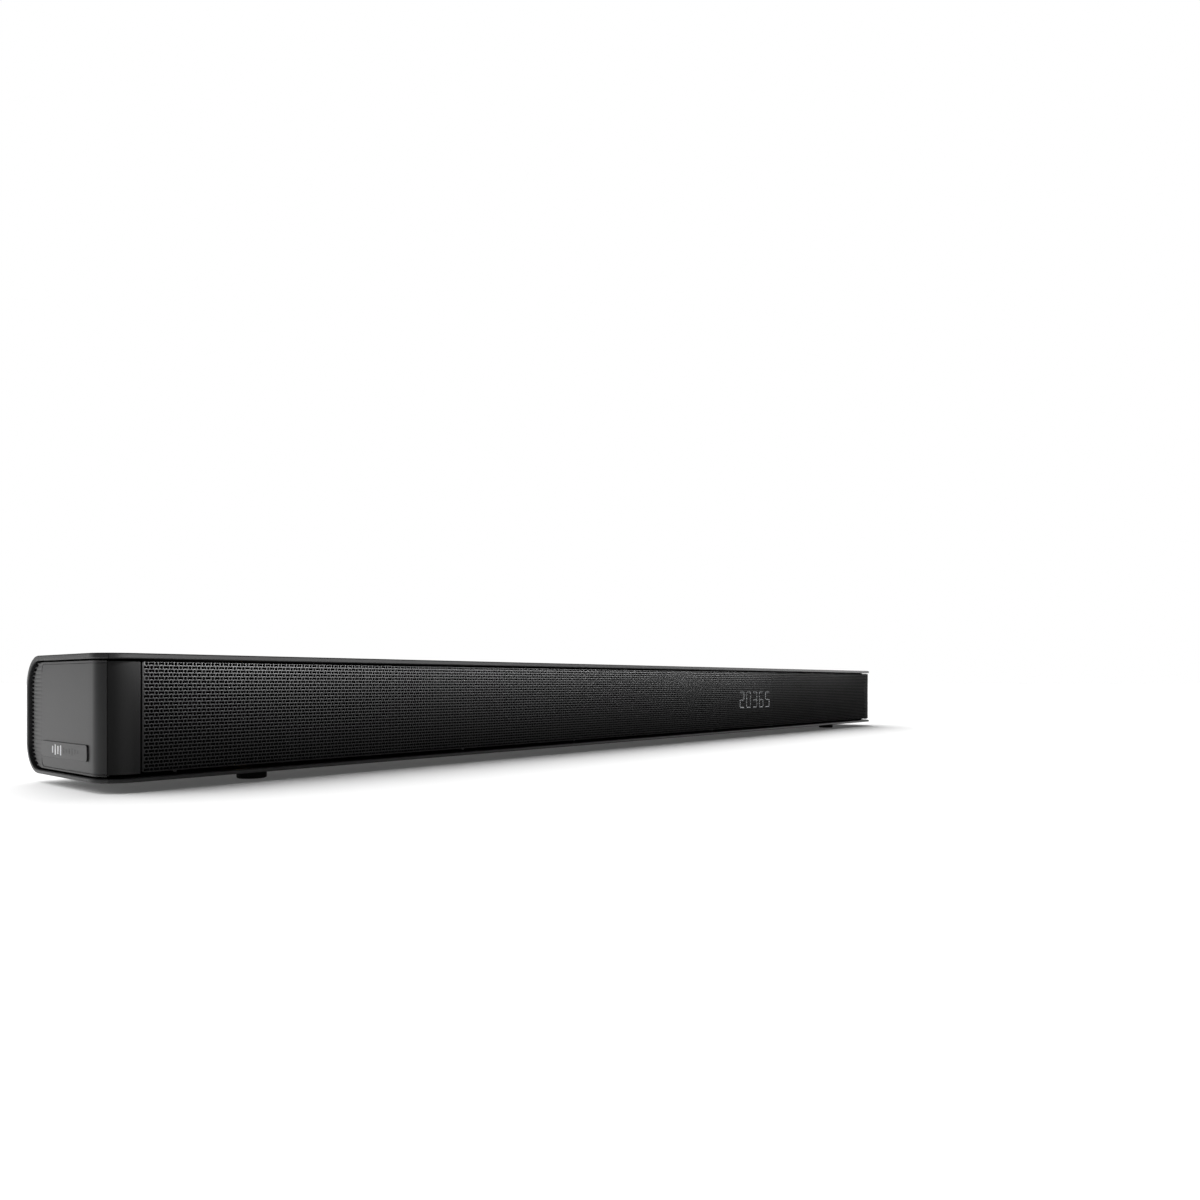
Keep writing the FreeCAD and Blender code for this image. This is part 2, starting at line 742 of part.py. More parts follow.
def rubber_feet():
    feet = []
    for x in (-foot_x, foot_x):
        for y in (-foot_y, foot_y):
            pad = rod(foot_radius, x, y, 0, foot_height)
            edge = [e for e in pad.Edges if e.BoundBox.ZMax < 0.01]
            feet.append(pad.makeChamfer(foot_chamfer, edge))
    return Part.makeCompound(feet)


def case_screws():
    screws = []
    for x, y in screw_places:
        head = rod(screw_head_radius, x, y, screw_head_low, screw_head_top)
        long, short, top = 1.6, 0.35, screw_head_low + 0.7
        slots = [box(x - long, x + long, y - short, y + short, shell_low - 1, top)]
        slots.append(box(x - short, x + short, y - long, y + long, shell_low - 1, top))
        shank = rod(screw_radius, x, y, screw_head_top - 0.3, screw_head_top + screw_length - 1)
        screws.append(merge([head, shank]).cut(slots))
    return Part.makeCompound(screws)


def wall_inserts():
    inserts = []
    for side in (-1, 1):
        y = rear_y - 0.1
        tube = rod_along_y(insert_radius, side * insert_x, middle_z, y - insert_length, y)
        bore = rod_along_y(insert_bore, side * insert_x, middle_z, y - insert_length - 1, y + 1)
        inserts.append(tube.cut(bore))
    return Part.makeCompound(inserts)


def all_nodes():
    left = end_cap_left()
    nodes = {
        "top_cover": top_cover(),
        "bottom_housing": bottom_housing(),
        "left_end_cap": left,
        "right_end_cap": left.mirror(Vector(0, 0, 0), Vector(1, 0, 0)),
        "badge_plate": badge_plate(),
        "front_frame": front_frame(),
        "front_grille": front_grille(),
        "acoustic_cloth": acoustic_cloth(),
        "baffle": baffle(),
        "rear_panel": rear_panel(),
        "power_inlet": power_inlet(),
        "main_board": main_board(),
        "heat_sink": heat_sink(),
        "wireless_module": wireless_module(),
        "speaker_cables": speaker_cables(),
        "rubber_feet": rubber_feet(),
        "case_screws": case_screws(),
        "wall_inserts": wall_inserts(),
    }
    for group in (drivers(), height_grilles(), display(), controls(), signal_sockets(), power_supply()):
        nodes.update(group)
    return nodes


os.makedirs("parts", exist_ok=True)
for node, shape in all_nodes().items():
    shape.exportStep("parts/" + node + ".step")
    box_size = shape.BoundBox
    print(f"{node:32s} solids {len(shape.Solids):2d} valid {shape.isValid()} volume {shape.Volume:10.1f}",
          f"z {box_size.ZMin:6.2f} {box_size.ZMax:6.2f}")
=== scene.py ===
import math

import bmesh
import bpy
import numpy as np
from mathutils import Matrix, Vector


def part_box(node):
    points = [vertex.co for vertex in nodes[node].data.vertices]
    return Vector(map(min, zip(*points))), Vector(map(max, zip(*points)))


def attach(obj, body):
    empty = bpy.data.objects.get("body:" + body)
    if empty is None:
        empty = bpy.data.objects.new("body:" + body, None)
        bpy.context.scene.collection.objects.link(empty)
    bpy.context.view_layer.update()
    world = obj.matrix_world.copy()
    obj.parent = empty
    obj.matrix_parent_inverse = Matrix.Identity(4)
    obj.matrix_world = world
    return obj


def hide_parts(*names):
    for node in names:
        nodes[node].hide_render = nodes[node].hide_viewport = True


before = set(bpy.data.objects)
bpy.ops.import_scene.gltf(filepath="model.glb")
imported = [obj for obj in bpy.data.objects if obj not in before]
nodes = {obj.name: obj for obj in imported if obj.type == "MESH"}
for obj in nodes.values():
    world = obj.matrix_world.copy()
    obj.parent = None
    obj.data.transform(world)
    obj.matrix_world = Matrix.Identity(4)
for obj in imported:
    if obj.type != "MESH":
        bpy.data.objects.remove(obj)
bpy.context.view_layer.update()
mm = 0.001
print("frame loaded:", len(nodes), "nodes")


# lowest and highest corner of a CAD node, in millimetres like every length below
def span(node):
    low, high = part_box(node)
    return np.array(low) / mm, np.array(high) / mm


coverLow, coverHigh = span("top_cover")
trayLow, trayHigh = span("bottom_housing")
capLow, capHigh = span("left_end_cap")
stileLow, stileHigh = span("front_frame")
grilleLow, grilleHigh = span("front_grille")
endX, capX = -capLow[0], -capHigh[0]          # the bar's end, and the inner face of an end cap
coverX = coverHigh[0]
frontY, rearY = coverLow[1], coverHigh[1]
bottomZ, topZ = trayLow[2], coverHigh[2]
middleZ = (bottomZ + topZ) / 2
faceY = grilleLow[1]                          # plane of the grille and the corner panels
panelX = endX - (faceY - frontY)              # the end panel sits back by the same step


# vertex (row, column) of a grid joined to its neighbours; a closed side wraps round
def gridQuads(rows, columns, wrap=False):
    i, j = np.meshgrid(np.arange(rows - 1), np.arange(columns if wrap else columns - 1), indexing="ij")
    k = (j + 1) % columns
    return np.stack([i * columns + j, i * columns + k, (i + 1) * columns + k, (i + 1) * columns + j],
                    -1).reshape(-1, 4)


# the outermost line of a grid, once round
def rimOf(grid):
    return np.concatenate([grid[0], grid[1:, -1], grid[-1, -2::-1], grid[-2:0:-1, 0]])


# joins (points, faces) patches; points nearer than the grain become one, so seams close
def weld(patches, grain=2e-3):
    points, faces, start = [], [], 0
    for patchPoints, patchFaces in patches:
        patchPoints = np.asarray(patchPoints, float).reshape(-1, 3)
        points.append(patchPoints)
        for block in patchFaces if isinstance(patchFaces, list) else [patchFaces]:
            faces.append(np.asarray(block) + start)
        start += len(patchPoints)
    points = np.concatenate(points)
    keys = np.round(points / grain).astype(np.int64)
    _, first, back = np.unique(keys, axis=0, return_index=True, return_inverse=True)
    return points[first], [back.reshape(-1)[block] for block in faces]


# a face that lost one corner in the weld becomes a triangle, and one that lost more goes
def soundFaces(faces):
    out = []
    for block in faces:
        lost = block == np.roll(block, 1, axis=1)
        out.append(block[lost.sum(1) == 0])
        if block.shape[1] == 4:
            rows = lost.sum(1) == 1
            out.append(block[rows][~lost[rows]].reshape(-1, 3))
    return [block for block in out if len(block)]


def meshFrom(name, points, faces):
    faces = soundFaces([np.asarray(f) for f in (faces if isinstance(faces, list) else [faces])])
    corners = np.concatenate([f.ravel() for f in faces])
    sizes = np.concatenate([np.full(len(f), f.shape[1]) for f in faces])
    mesh = bpy.data.meshes.new(name)
    mesh.vertices.add(len(points))
    mesh.vertices.foreach_set("co", (np.asarray(points, float) * mm).ravel())
    mesh.loops.add(len(corners))
    mesh.loops.foreach_set("vertex_index", corners.astype(np.int32))
    mesh.polygons.add(len(sizes))
    mesh.polygons.foreach_set("loop_start", (np.cumsum(sizes) - sizes).astype(np.int32))
    mesh.update(calc_edges=True)
    mesh.validate()
    return mesh


# merges doubles and turns every face of a closed mesh outwards
def faceOutwards(mesh):
    work = bmesh.new()
    work.from_mesh(mesh)
    bmesh.ops.remove_doubles(work, verts=work.verts[:], dist=1e-7)
    bmesh.ops.recalc_face_normals(work, faces=work.faces[:])
    work.to_mesh(mesh)
    work.free()


def newObject(name, mesh):
    obj = bpy.data.objects.new(name, mesh)
    bpy.context.scene.collection.objects.link(obj)
    return obj


# gives a mesh its finish and its body; flat faces stay flat beside
# rounded edges because normals are weighed by area
def dress(obj, finish, body="housing", slot=None, replaces=(), sharp=35, weigh=True):
    mesh = obj.data
    mesh.materials.clear()
    mesh.materials.append(finishes[finish])
    mesh.polygons.foreach_set("material_index", np.zeros(len(mesh.polygons), np.int32))
    mesh.polygons.foreach_set("use_smooth", np.ones(len(mesh.polygons), bool))
    mesh.set_sharp_from_angle(angle=math.radians(sharp))
    if weigh:
        even = obj.modifiers.new("evenNormals", "WEIGHTED_NORMAL")
        even.keep_sharp = True
    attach(obj, body)
    if replaces:
        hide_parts(*replaces)
    return obj


def makePiece(name, shape, finish, asMade=False, **facts):
    mesh = meshFrom(name, *shape)
    if not asMade:
        faceOutwards(mesh)
    return dress(newObject(name, mesh), finish, **facts)


# points of a rounded rectangle, anticlockwise: four quarter circles joined by straights
def roundedRing(width, tall, radius, steps=6, centre=(0, 0)):
    t = np.radians(np.concatenate([np.linspace(a, a + 90, steps + 1) for a in (0, 90, 180, 270)]))
    quarter = np.repeat(np.array([(1, 1), (-1, 1), (-1, -1), (1, -1)]), steps + 1, axis=0)
    half = np.array([width / 2 - radius, tall / 2 - radius])
    return quarter * half + radius * np.stack([np.cos(t), np.sin(t)], 1) + centre


# points in x and y, lifted to a level
def atLevel(outline, z):
    return np.insert(np.asarray(outline, float), 2, z, axis=1)


# the skin over a row of closed rings
def skin(rings):
    rings = np.asarray(rings, float)
    return rings, gridQuads(*rings.shape[:2], wrap=True)


# rings of equal length stacked into a closed solid, each end closed by a fan about its middle
def stackRings(rings):
    rings, sides = skin(rings)
    count, n = rings.shape[:2]
    points = np.concatenate([rings.reshape(-1, 3), rings[:1].mean(1), rings[-1:].mean(1)])
    faces = [sides]
    ring = np.arange(n)
    for base, middle in ((0, count * n), ((count - 1) * n, count * n + 1)):
        faces.append(np.stack([base + ring, base + (ring + 1) % n, np.full(n, middle)], 1))
    return points, faces


# a plate facing +Z with its top at z 0: the outline draws in by edge(1 - sin t) while it rises
# by edge(1 - cos t), which rounds the upper edge, and the lower one if both is set
def plate(width, tall, thick, corner, edge, steps=3, both=False, arc=6):
    t = np.radians(np.linspace(90, 0, steps + 1))
    inset, level = edge * (1 - np.sin(t)), -edge * (1 - np.cos(t))
    if both:
        inset, level = np.append(inset[::-1], inset), np.append(-thick - level[::-1], level)
    else:
        inset, level = np.append(0, inset), np.append(-thick, level)
    rings = []
    for i, z in zip(inset, level):
        rings.append(atLevel(roundedRing(width - 2 * i, tall - 2 * i, max(corner - i, 0.01), arc), z))
    return stackRings(rings)


# a turned solid facing +Z: each (radius, height) of the profile becomes a circle
def turned(profile, sides=48):
    t = np.linspace(0, 2 * np.pi, sides, endpoint=False)
    circle = np.stack([np.cos(t), np.sin(t), 0 * t], 1)
    return stackRings([circle * (r, r, 1) + (0, 0, z) for r, z in profile])


# rows of a turn matrix say where a shape's own x, y and z axes point
facings = {
    "up": [(1, 0, 0), (0, 1, 0), (0, 0, 1)],
    "down": [(1, 0, 0), (0, -1, 0), (0, 0, -1)],
    "front": [(1, 0, 0), (0, 0, 1), (0, -1, 0)],
    "rear": [(-1, 0, 0), (0, 0, 1), (0, 1, 0)],
    "left": [(0, -1, 0), (0, 0, 1), (-1, 0, 0)],
    "upright": [(0, 1, 0), (-1, 0, 0), (0, 0, 1)],
}


def placed(shape, facing, at):
    points, faces = shape
    return np.asarray(points) @ np.array(facings[facing], float) + np.asarray(at, float), faces


def together(shapes):
    points, faces, start = [], [], 0
    for p, blocks in shapes:
        points.append(p)
        faces += [np.asarray(block) + start for block in blocks]
        start += len(p)
    return np.concatenate(points), faces


# the same shape on the other end of the bar
def mirrored(shape):
    points, faces = shape
    return np.asarray(points) * (-1, 1, 1), [np.asarray(block)[:, ::-1] for block in faces]


# a block between two corners with slightly eased edges
def block(low, high, edge=0.15, steps=2):
    low, high = np.asarray(low, float), np.asarray(high, float)
    width, deep, tall = high - low
    middle = (low + high) / 2
    return placed(plate(width, deep, tall, edge, edge, steps, both=True, arc=2), "up",
                  (middle[0], middle[1], high[2]))


# a straight-sided solid: an outline in x and y between two heights
def prism(outline, low, high):
    return stackRings([atLevel(outline, z) for z in (low, high)])


def addNode(tree, kind, **values):
    node = tree.nodes.new(kind)
    for key, value in values.items():
        if key in node.inputs:
            node.inputs[key].default_value = value
        else:
            setattr(node, key, value)
    return node


# a new material: its tree, its shader, and the object's coordinates stretched along each axis
def newMaterial(name, stretch=(1, 1, 1)):
    material = bpy.data.materials.new(name)
    material.use_nodes = True
    tree = material.node_tree
    coords = addNode(tree, "ShaderNodeTexCoord")
    mapping = addNode(tree, "ShaderNodeMapping", Scale=stretch)
    tree.links.new(coords.outputs["Object"], mapping.inputs["Vector"])
    return material, tree, tree.nodes["Principled BSDF"], mapping.outputs["Vector"]


def addNoise(tree, place, scale, detail):
    noise = addNode(tree, "ShaderNodeTexNoise", Scale=scale, Detail=detail)
    tree.links.new(place, noise.inputs["Vector"])
    return noise.outputs["Fac"]


def addRamp(tree, value, colours, stops=(0, 1)):
    ramp = addNode(tree, "ShaderNodeValToRGB")
    for stop, where, colour in zip(ramp.color_ramp.elements, stops, colours):
        stop.position = where
        stop.color = (*(np.ones(3) * colour), 1)
    tree.links.new(value, ramp.inputs["Fac"])
    return ramp.outputs["Color"]


# depth in millimetres
def addBump(tree, shader, height, strength, depth):
    bump = addNode(tree, "ShaderNodeBump", Strength=strength, Distance=depth * mm)
    tree.links.new(height, bump.inputs["Height"])
    tree.links.new(bump.outputs["Normal"], shader.inputs["Normal"])


def setSockets(shader, values):
    for socket, value in values.items():
        shader.inputs[socket].default_value = value


# a broad noise shifts the colour, and a fine one shifts the roughness and raises the surface
def finishOf(name, colour, grain, roughness, bump=0.15, specular=0.5, metallic=0.0, coat=0.0,
             vary=0.07, patch=14.0, stretch=(1, 1, 1), roughVary=0.04):
    material, tree, shader, place = newMaterial(name, stretch)
    shades = [np.array(colour) * share for share in (1 - vary, 1 + vary)]
    broad, fine = addNoise(tree, place, patch, 4.0), addNoise(tree, place, grain, 2.0)
    tree.links.new(addRamp(tree, broad, shades, (0.32, 0.68)), shader.inputs["Base Color"])
    limits = {"To Min": roughness - roughVary, "To Max": roughness + roughVary}
    rough = addNode(tree, "ShaderNodeMapRange", **limits)
    tree.links.new(fine, rough.inputs["Value"])
    tree.links.new(rough.outputs["Result"], shader.inputs["Roughness"])
    addBump(tree, shader, fine, bump, 0.04)
    setSockets(shader, {"Metallic": metallic, "Specular IOR Level": specular, "Coat Weight": coat,
                        "Coat Roughness": 0.12})
    return material


# linear colour, grain in cells per metre, roughness, and what else a finish has of its own
looks = {
    "coverPlastic": ((0.010, 0.010, 0.0103), 2600, 0.46, {"bump": 0.25, "specular": 0.25}),
    "trayPlastic": ((0.018, 0.018, 0.0185), 2600, 0.48, {"bump": 0.25, "specular": 0.25}),
    "capPlastic": ((0.016, 0.016, 0.0165), 3200, 0.34, {"bump": 0.10, "specular": 0.27}),
    "stilePlastic": ((0.0065, 0.0065, 0.0066), 3200, 0.46, {"bump": 0.12, "specular": 0.07}),
    "badgePlastic": ((0.018, 0.018, 0.0185), 3200, 0.32, {"bump": 0.08, "specular": 0.27}),
    "badgePrintDark": (0.003, 1800, 0.42, {"bump": 0.05}),
    "badgePrint": ((0.85, 0.85, 0.86), 1800, 0.42, {"bump": 0.05}),
    # near black and almost without shine: painted shade, for pieces that show only in gaps
    "paintedShadePlastic": (0.0012, 2000, 0.85, {"specular": 0.03}),
    "grillePaint": ((0.020, 0.020, 0.0203), 4200, 0.62, {"bump": 0.3, "specular": 0.12}),
    "footRubber": (0.006, 2200, 0.78, {"specular": 0.2}),
    "keyRubber": ((0.022, 0.022, 0.023), 3600, 0.62, {"bump": 0.25}),
    "keyPrint": ((0.50, 0.50, 0.51), 1600, 0.5, {"bump": 0.05}),
    "panelPlastic": ((0.020, 0.020, 0.0205), 2400, 0.58, {"bump": 0.35}),
    "innerPlastic": (0.010, 1500, 0.62, {"bump": 0.2}),
    "socketPlastic": (0.009, 2600, 0.35, {"bump": 0.1}),
    "socketMetal": ((0.58, 0.57, 0.55), 900, 0.28, {"metallic": 1.0, "stretch": (1, 14, 1), "bump": 0.1}),
    "screwSteel": ((0.06, 0.06, 0.062), 1500, 0.36, {"metallic": 1.0}),
    "brass": ((0.70, 0.50, 0.22), 700, 0.30, {"metallic": 1.0, "stretch": (1, 20, 1)}),
    "aluminium": ((0.60, 0.60, 0.61), 500, 0.34, {"metallic": 1.0, "stretch": (1, 12, 12)}),
    "boardMask": ((0.012, 0.085, 0.030), 260, 0.32, {"vary": 0.35, "patch": 90, "coat": 0.4}),
    "ferrite": ((0.055, 0.055, 0.058), 800, 0.50, {"vary": 0.2, "bump": 0.4}),
    "conePulp": (0.020, 700, 0.80, {"bump": 0.9}),
    "butyl": (0.009, 1600, 0.55, {"bump": 0.1}),
    "sleeve": ((0.015, 0.022, 0.085), 900, 0.25, {"coat": 0.5}),
    "laminations": ((0.16, 0.13, 0.08), 400, 0.5, {"stretch": (12, 1, 1), "bump": 0.7}),
    "smokedWindow": ((0.0012, 0.0012, 0.0014), 300, 0.5, {"specular": 0.05, "bump": 0.02}),
    "cableRubber": (0.010, 1800, 0.65, {}),
}
finishes = {name: finishOf(name, *basics, **extras) for name, (*basics, extras) in looks.items()}


# fine plain weave: two crossed bands, one thread over and one under, tint and raise the cloth
def clothFinish(name, threads, gap, thread):
    material, tree, shader, place = newMaterial(name)
    weave = addNode(tree, "ShaderNodeMath", operation="MULTIPLY")
    for socket, direction in enumerate("XZ"):
        band = addNode(tree, "ShaderNodeTexWave", bands_direction=direction, Scale=threads, Distortion=0.4,
                       Detail=1.0)
        tree.links.new(place, band.inputs["Vector"])
        tree.links.new(band.outputs["Fac"], weave.inputs[socket])
    value = weave.outputs["Value"]
    tree.links.new(addRamp(tree, value, (gap, thread)), shader.inputs["Base Color"])
    addBump(tree, shader, value, 0.6, 0.05)
    setSockets(shader, {"Roughness": 0.95, "Specular IOR Level": 0.04})
    return material


# a lit segment: cool white with a slight mottle
def litFinish(name, strength):
    material, tree, shader, place = newMaterial(name)
    colour = addRamp(tree, addNoise(tree, place, 900.0, 1.0), ((0.80, 0.84, 0.90), (1.0, 1.0, 1.0)))
    for socket in ("Emission Color", "Base Color"):
        tree.links.new(colour, shader.inputs[socket])
    setSockets(shader, {"Emission Strength": strength})
    return material


finishes["cloth"] = clothFinish("acousticWeave", 600.0, 0.0006, 0.003)
finishes["litBar"] = litFinish("litBar", 0.45)
finishes["litPost"] = litFinish("litPost", 0.16)

# CAD parts whose shape is kept, with the finish each one gets
cadFinishes = {
    "panelPlastic": ["rear_panel"],
    "socketPlastic": ["power_inlet", "aux_jack", "optical_socket"],
    "socketMetal": ["hdmi_output_socket", "hdmi_input_socket", "usb_socket"],
    "brass": ["wall_inserts"],
    "screwSteel": ["case_screws"],
    "boardMask": ["main_board", "power_board", "display_board", "button_board", "wireless_module"],
    "aluminium": ["heat_sink"],
    "laminations": ["mains_transformer"],
    "sleeve": ["supply_capacitors"],
    "cableRubber": ["speaker_cables"],
    "innerPlastic": ["baffle", "display_module"],
    "smokedWindow": ["display_lens", "remote_receiver"],
}
driverFinishes = {"basket": "innerPlastic", "motor": "ferrite", "cone": "conePulp", "surround": "butyl"}
for driver in ("left_driver", "centre_driver", "right_driver", "left_height_driver", "right_height_driver"):
    for part, finish in driverFinishes.items():
        cadFinishes.setdefault(finish, []).append(f"{driver}_{part}")
for finish, names in cadFinishes.items():
    for name in names:
        nodes[name].data.materials.clear()
        nodes[name].data.materials.append(finishes[finish])
print("finishes ready:", len(finishes))


shell = {
    "bendRadius": 17.0,       # outer radius of the two bends at the back
    "lipRadius": 15.4,        # plan radius of the front corners
    "topWall": topZ - span("left_height_grille")[0][2],
    "rearWall": 2.95,
    "bottomWall": 2.2,
    "outerEdge": 0.7,         # rounding round the opening
    "innerEdge": 0.45,        # chamfer inside it, which catches the light
    "cornerSteps": 12, "bendSteps": 16,
    "farRow": 45.0,           # a row of points across the plates, this far from the lip
    "seamZ": bottomZ + 16.0,  # top cover and bottom tray meet here on the back
    "seamGap": 0.3,
}
plateLength = rearY - frontY - shell["bendRadius"]
bendLength = shell["bendRadius"] * math.pi / 2
wallHeight = topZ - bottomZ - 2 * shell["bendRadius"]
stops = np.cumsum([0, plateLength, bendLength, wallHeight, bendLength, plateLength])


# The shell is a sheet bent twice. s runs along it from the top lip, round the back, to the
# bottom lip; the turn is s past a bend's start over its radius, and the point is the bend's
# centre plus (radius - depth) times the outward direction (sin turn, cos turn).
def onShell(s, x, depth):
    r = shell["bendRadius"]
    turn = (np.clip(s - stops[1], 0, bendLength) + np.clip(s - stops[3], 0, bendLength)) / r
    ahead = np.minimum(s - stops[1], 0) - np.maximum(s - stops[4], 0)
    y = rearY - r + ahead + (r - depth) * np.sin(turn)
    z = topZ - r - np.clip(s - stops[2], 0, wallHeight) + (r - depth) * np.cos(turn)
    return np.stack([x + 0 * s, y, z], -1)


# The sheet laid flat is a rectangle with four round corners. At an inset from its border the
# columns stand at x = reach - (r - inset)(1 - cos t) and start at s = inset + (r - inset)(1 - sin t).
def flatSheet(inset):
    r = shell["lipRadius"]
    t = np.radians(np.linspace(0, 90, shell["cornerSteps"] + 1))
    reach = endX - inset - (r - inset) * (1 - np.cos(t))
    start = inset + (r - inset) * (1 - np.sin(t))
    across = np.linspace(-reach[-1], reach[-1], 25)[1:-1]
    x = np.concatenate([-reach, across, reach[::-1]])
    lip = np.concatenate([start, np.full(len(across), inset), start[::-1]])
    bend = np.linspace(0, bendLength, shell["bendSteps"] + 1)
    plateRows = np.array([r + 2, shell["farRow"]])
    fixed = np.concatenate([plateRows, stops[1] + bend, [np.mean(stops[2:4])], stops[3] + bend,
                            stops[5] - plateRows[::-1]])
    nearLip = lip + (fixed[0] - lip) * np.linspace(0, 1, 4)[:-1, None]
    s = np.concatenate([nearLip, np.repeat(fixed[:, None], len(x), 1), stops[5] - nearLip[::-1]])
    wall = np.interp(s, stops, np.repeat([shell[key] for key in ("topWall", "rearWall", "bottomWall")], 2))
    return s, np.repeat(x[None], len(s), 0), wall


def shellShape():
    outer, inner = shell["outerEdge"], shell["innerEdge"]
    s, x, _ = flatSheet(outer)
    outside = onShell(s, x, 0 * s)
    s, x, wall = flatSheet(inner)
    inside = onShell(s, x, wall)
    rings = []
    for t in np.radians(np.linspace(0, 90, 5)):
        s, x, _ = flatSheet(outer * (1 - math.sin(t)))
        rings.append(rimOf(onShell(s, x, 0 * s + outer * (1 - math.cos(t)))))
    for inset in (0, inner):
        s, x, wall = flatSheet(inset)
        rings.append(rimOf(onShell(s, x, wall - inner + inset)))
    grid = gridQuads(*s.shape)
    return weld([(outside, grid), (inside, grid), skin(rings)])


# keeps the part of a closed mesh behind each (point, direction) plane and closes the cuts
def cutAway(mesh, planes):
    work = bmesh.new()
    work.from_mesh(mesh)
    for at, direction in planes:
        bmesh.ops.bisect_plane(work, geom=work.verts[:] + work.edges[:] + work.faces[:], dist=1e-7,
                               plane_co=np.array(at) * mm, plane_no=direction, clear_outer=True)
        cut = [edge for edge in work.edges if edge.is_boundary]
        bmesh.ops.triangle_fill(work, edges=cut, use_beauty=True, normal=direction)
    bmesh.ops.recalc_face_normals(work, faces=work.faces[:])
    work.to_mesh(mesh)
    work.free()
    return mesh


# takes a closed shape out of an object
def carve(obj, shape):
    mesh = meshFrom("cutter", *shape)
    faceOutwards(mesh)
    cutter = newObject("cutter", mesh)
    change = obj.modifiers.new("carve", "BOOLEAN")
    change.operation = "DIFFERENCE"
    change.solver = "EXACT"
    change.object = cutter
    seen = obj.evaluated_get(bpy.context.evaluated_depsgraph_get())
    carved = bpy.data.meshes.new_from_object(seen)
    obj.modifiers.clear()
    obj.data = carved
    bpy.data.objects.remove(cutter)
    return obj


def disc(radius, low, high, centre, facing="up", sides=32):
    return placed(turned([(radius, low), (radius, high)], sides), facing, centre)


shellMesh = meshFrom("shell", *shellShape())
faceOutwards(shellMesh)
ends = [((side * coverX, 0, 0), (side, 0, 0)) for side in (-1, 1)]
seamAbove = ((0, 0, shell["seamZ"]), (0, 0, -1))
seamBelow = ((0, 0, shell["seamZ"] - shell["seamGap"]), (0, 0, 1))
topCover = newObject("topCover", cutAway(shellMesh.copy(), ends + [seamAbove]))
bottomTray = newObject("bottomTray", cutAway(shellMesh.copy(), ends + [seamBelow]))

openings = {
    "grilleGap": 0.3, "grilleCorner": 6.3,
    "bezelGap": 0.15, "bezelSize": (100.0, 16.0),     # the bezel's face; a flange under it is larger
    "rearHalf": 150.0, "rearLow": 17.5, "rearHigh": 45.5,
    "insertGap": 0.1,
    "wellRadius": 3.3, "wellDepth": 1.25,
    "wells": [(100, -37.5), (215, -37.5), (410, -37.5), (140, 29.0), (420, 29.0)],
}
above, below = topZ + 2, topZ - 8
coverCuts = []
for name in ("left_height_grille", "right_height_grille"):
    low, high = span(name)
    gap = 2 * openings["grilleGap"]
    ring = roundedRing(*(high - low)[:2] + gap, openings["grilleCorner"], 8, (low + high)[:2] / 2)
    coverCuts.append(prism(ring, below, above))
bezelLow, bezelHigh = span("control_bezel")
bezelMiddle = (bezelLow + bezelHigh) / 2
bezelWide, bezelTall = openings["bezelSize"]
gap = 2 * openings["bezelGap"]
ring = roundedRing(bezelWide + gap, bezelTall + gap, (bezelTall + gap) / 2 - 0.01, 12, bezelMiddle[:2])
coverCuts.append(prism(ring, below, above))
rearLow, rearHigh = bottomZ + openings["rearLow"], bottomZ + openings["rearHigh"]
ring = roundedRing(2 * openings["rearHalf"], rearHigh - rearLow, 0.6, 3)
coverCuts.append(placed(prism(ring, -6, 2), "rear", (0, rearY, (rearLow + rearHigh) / 2)))
insertLow, insertHigh = span("wall_inserts")
insertRadius = (insertHigh[2] - insertLow[2]) / 2
for side in (-1, 1):
    at = (side * (insertHigh[0] - insertRadius), rearY, (insertLow[2] + insertHigh[2]) / 2)
    coverCuts.append(disc(insertRadius + openings["insertGap"], -8, 2, at, "rear"))
carve(topCover, together(coverCuts))
dress(topCover, "coverPlastic", replaces=["top_cover"])

wells = [disc(openings["wellRadius"], -2, openings["wellDepth"], (side * x, y, bottomZ), sides=24)
         for x, y in openings["wells"] for side in (-1, 1)]
carve(bottomTray, together(wells))
dress(bottomTray, "trayPlastic", replaces=["bottom_housing"])
print("shell:", len(topCover.data.polygons), "+", len(bottomTray.data.polygons), "faces")


cap = {
    "gap": 0.75,               # shadow gap between the rim and the panel
    "cornerRadius": 14.0,      # plan radius of the panel at the front corner
    "backRadius": 13.6,        # radius of the panel's two rear corners
    "thickness": 2.3,
    "edge": 0.3,
    "band": 1.0,               # flat border outside the groove
    "groove": 0.4, "grooveDepth": 0.28,
    "grooveEnd": 31.5, "grooveTurn": 3.0,    # where it turns down, and the radius of the turn
    "toothPitch": 2.177, "toothWidth": 0.9, "toothLength": 3.1, "teeth": 26,
    "fluteStart": 30.0, "fluteLength": 14.0, "fluteDepth": 0.16,
    "fineBack": 33.0, "fineFront": 28.0,     # points stand close together between these
    "webFront": -38.5, "webThick": 1.2,      # the web stops inside the corner's curve
}
panelLow, panelHigh = bottomZ + shell["bottomWall"] + cap["gap"], topZ - shell["topWall"] - cap["gap"]
panelBack = rearY - shell["rearWall"] - cap["gap"]
cornerX, cornerY = cap["cornerRadius"] - panelX, faceY + cap["cornerRadius"]
quarter = cap["cornerRadius"] * math.pi / 2


# how far round the corner an x lies: the angle whose cosine is the share of the radius, times the radius
def roundTo(x):
    return cap["cornerRadius"] * math.acos((x + cornerX) / cap["cornerRadius"])


# The faces of the end panel and the stile stand on one plan path. t is the way along it from the
# start of the corner: back along the end when negative, round the corner by t over its radius,
# then along the front. Depth is taken off the radius.
def onFacePath(t, z, depth):
    turn = np.clip(t / cap["cornerRadius"], 0, math.pi / 2)
    r = cap["cornerRadius"] - depth
    x = cornerX - r * np.cos(turn) + np.maximum(t - quarter, 0)
    y = cornerY - r * np.sin(turn) - np.minimum(t, 0)
    return np.stack(np.broadcast_arrays(x, y, z), -1)


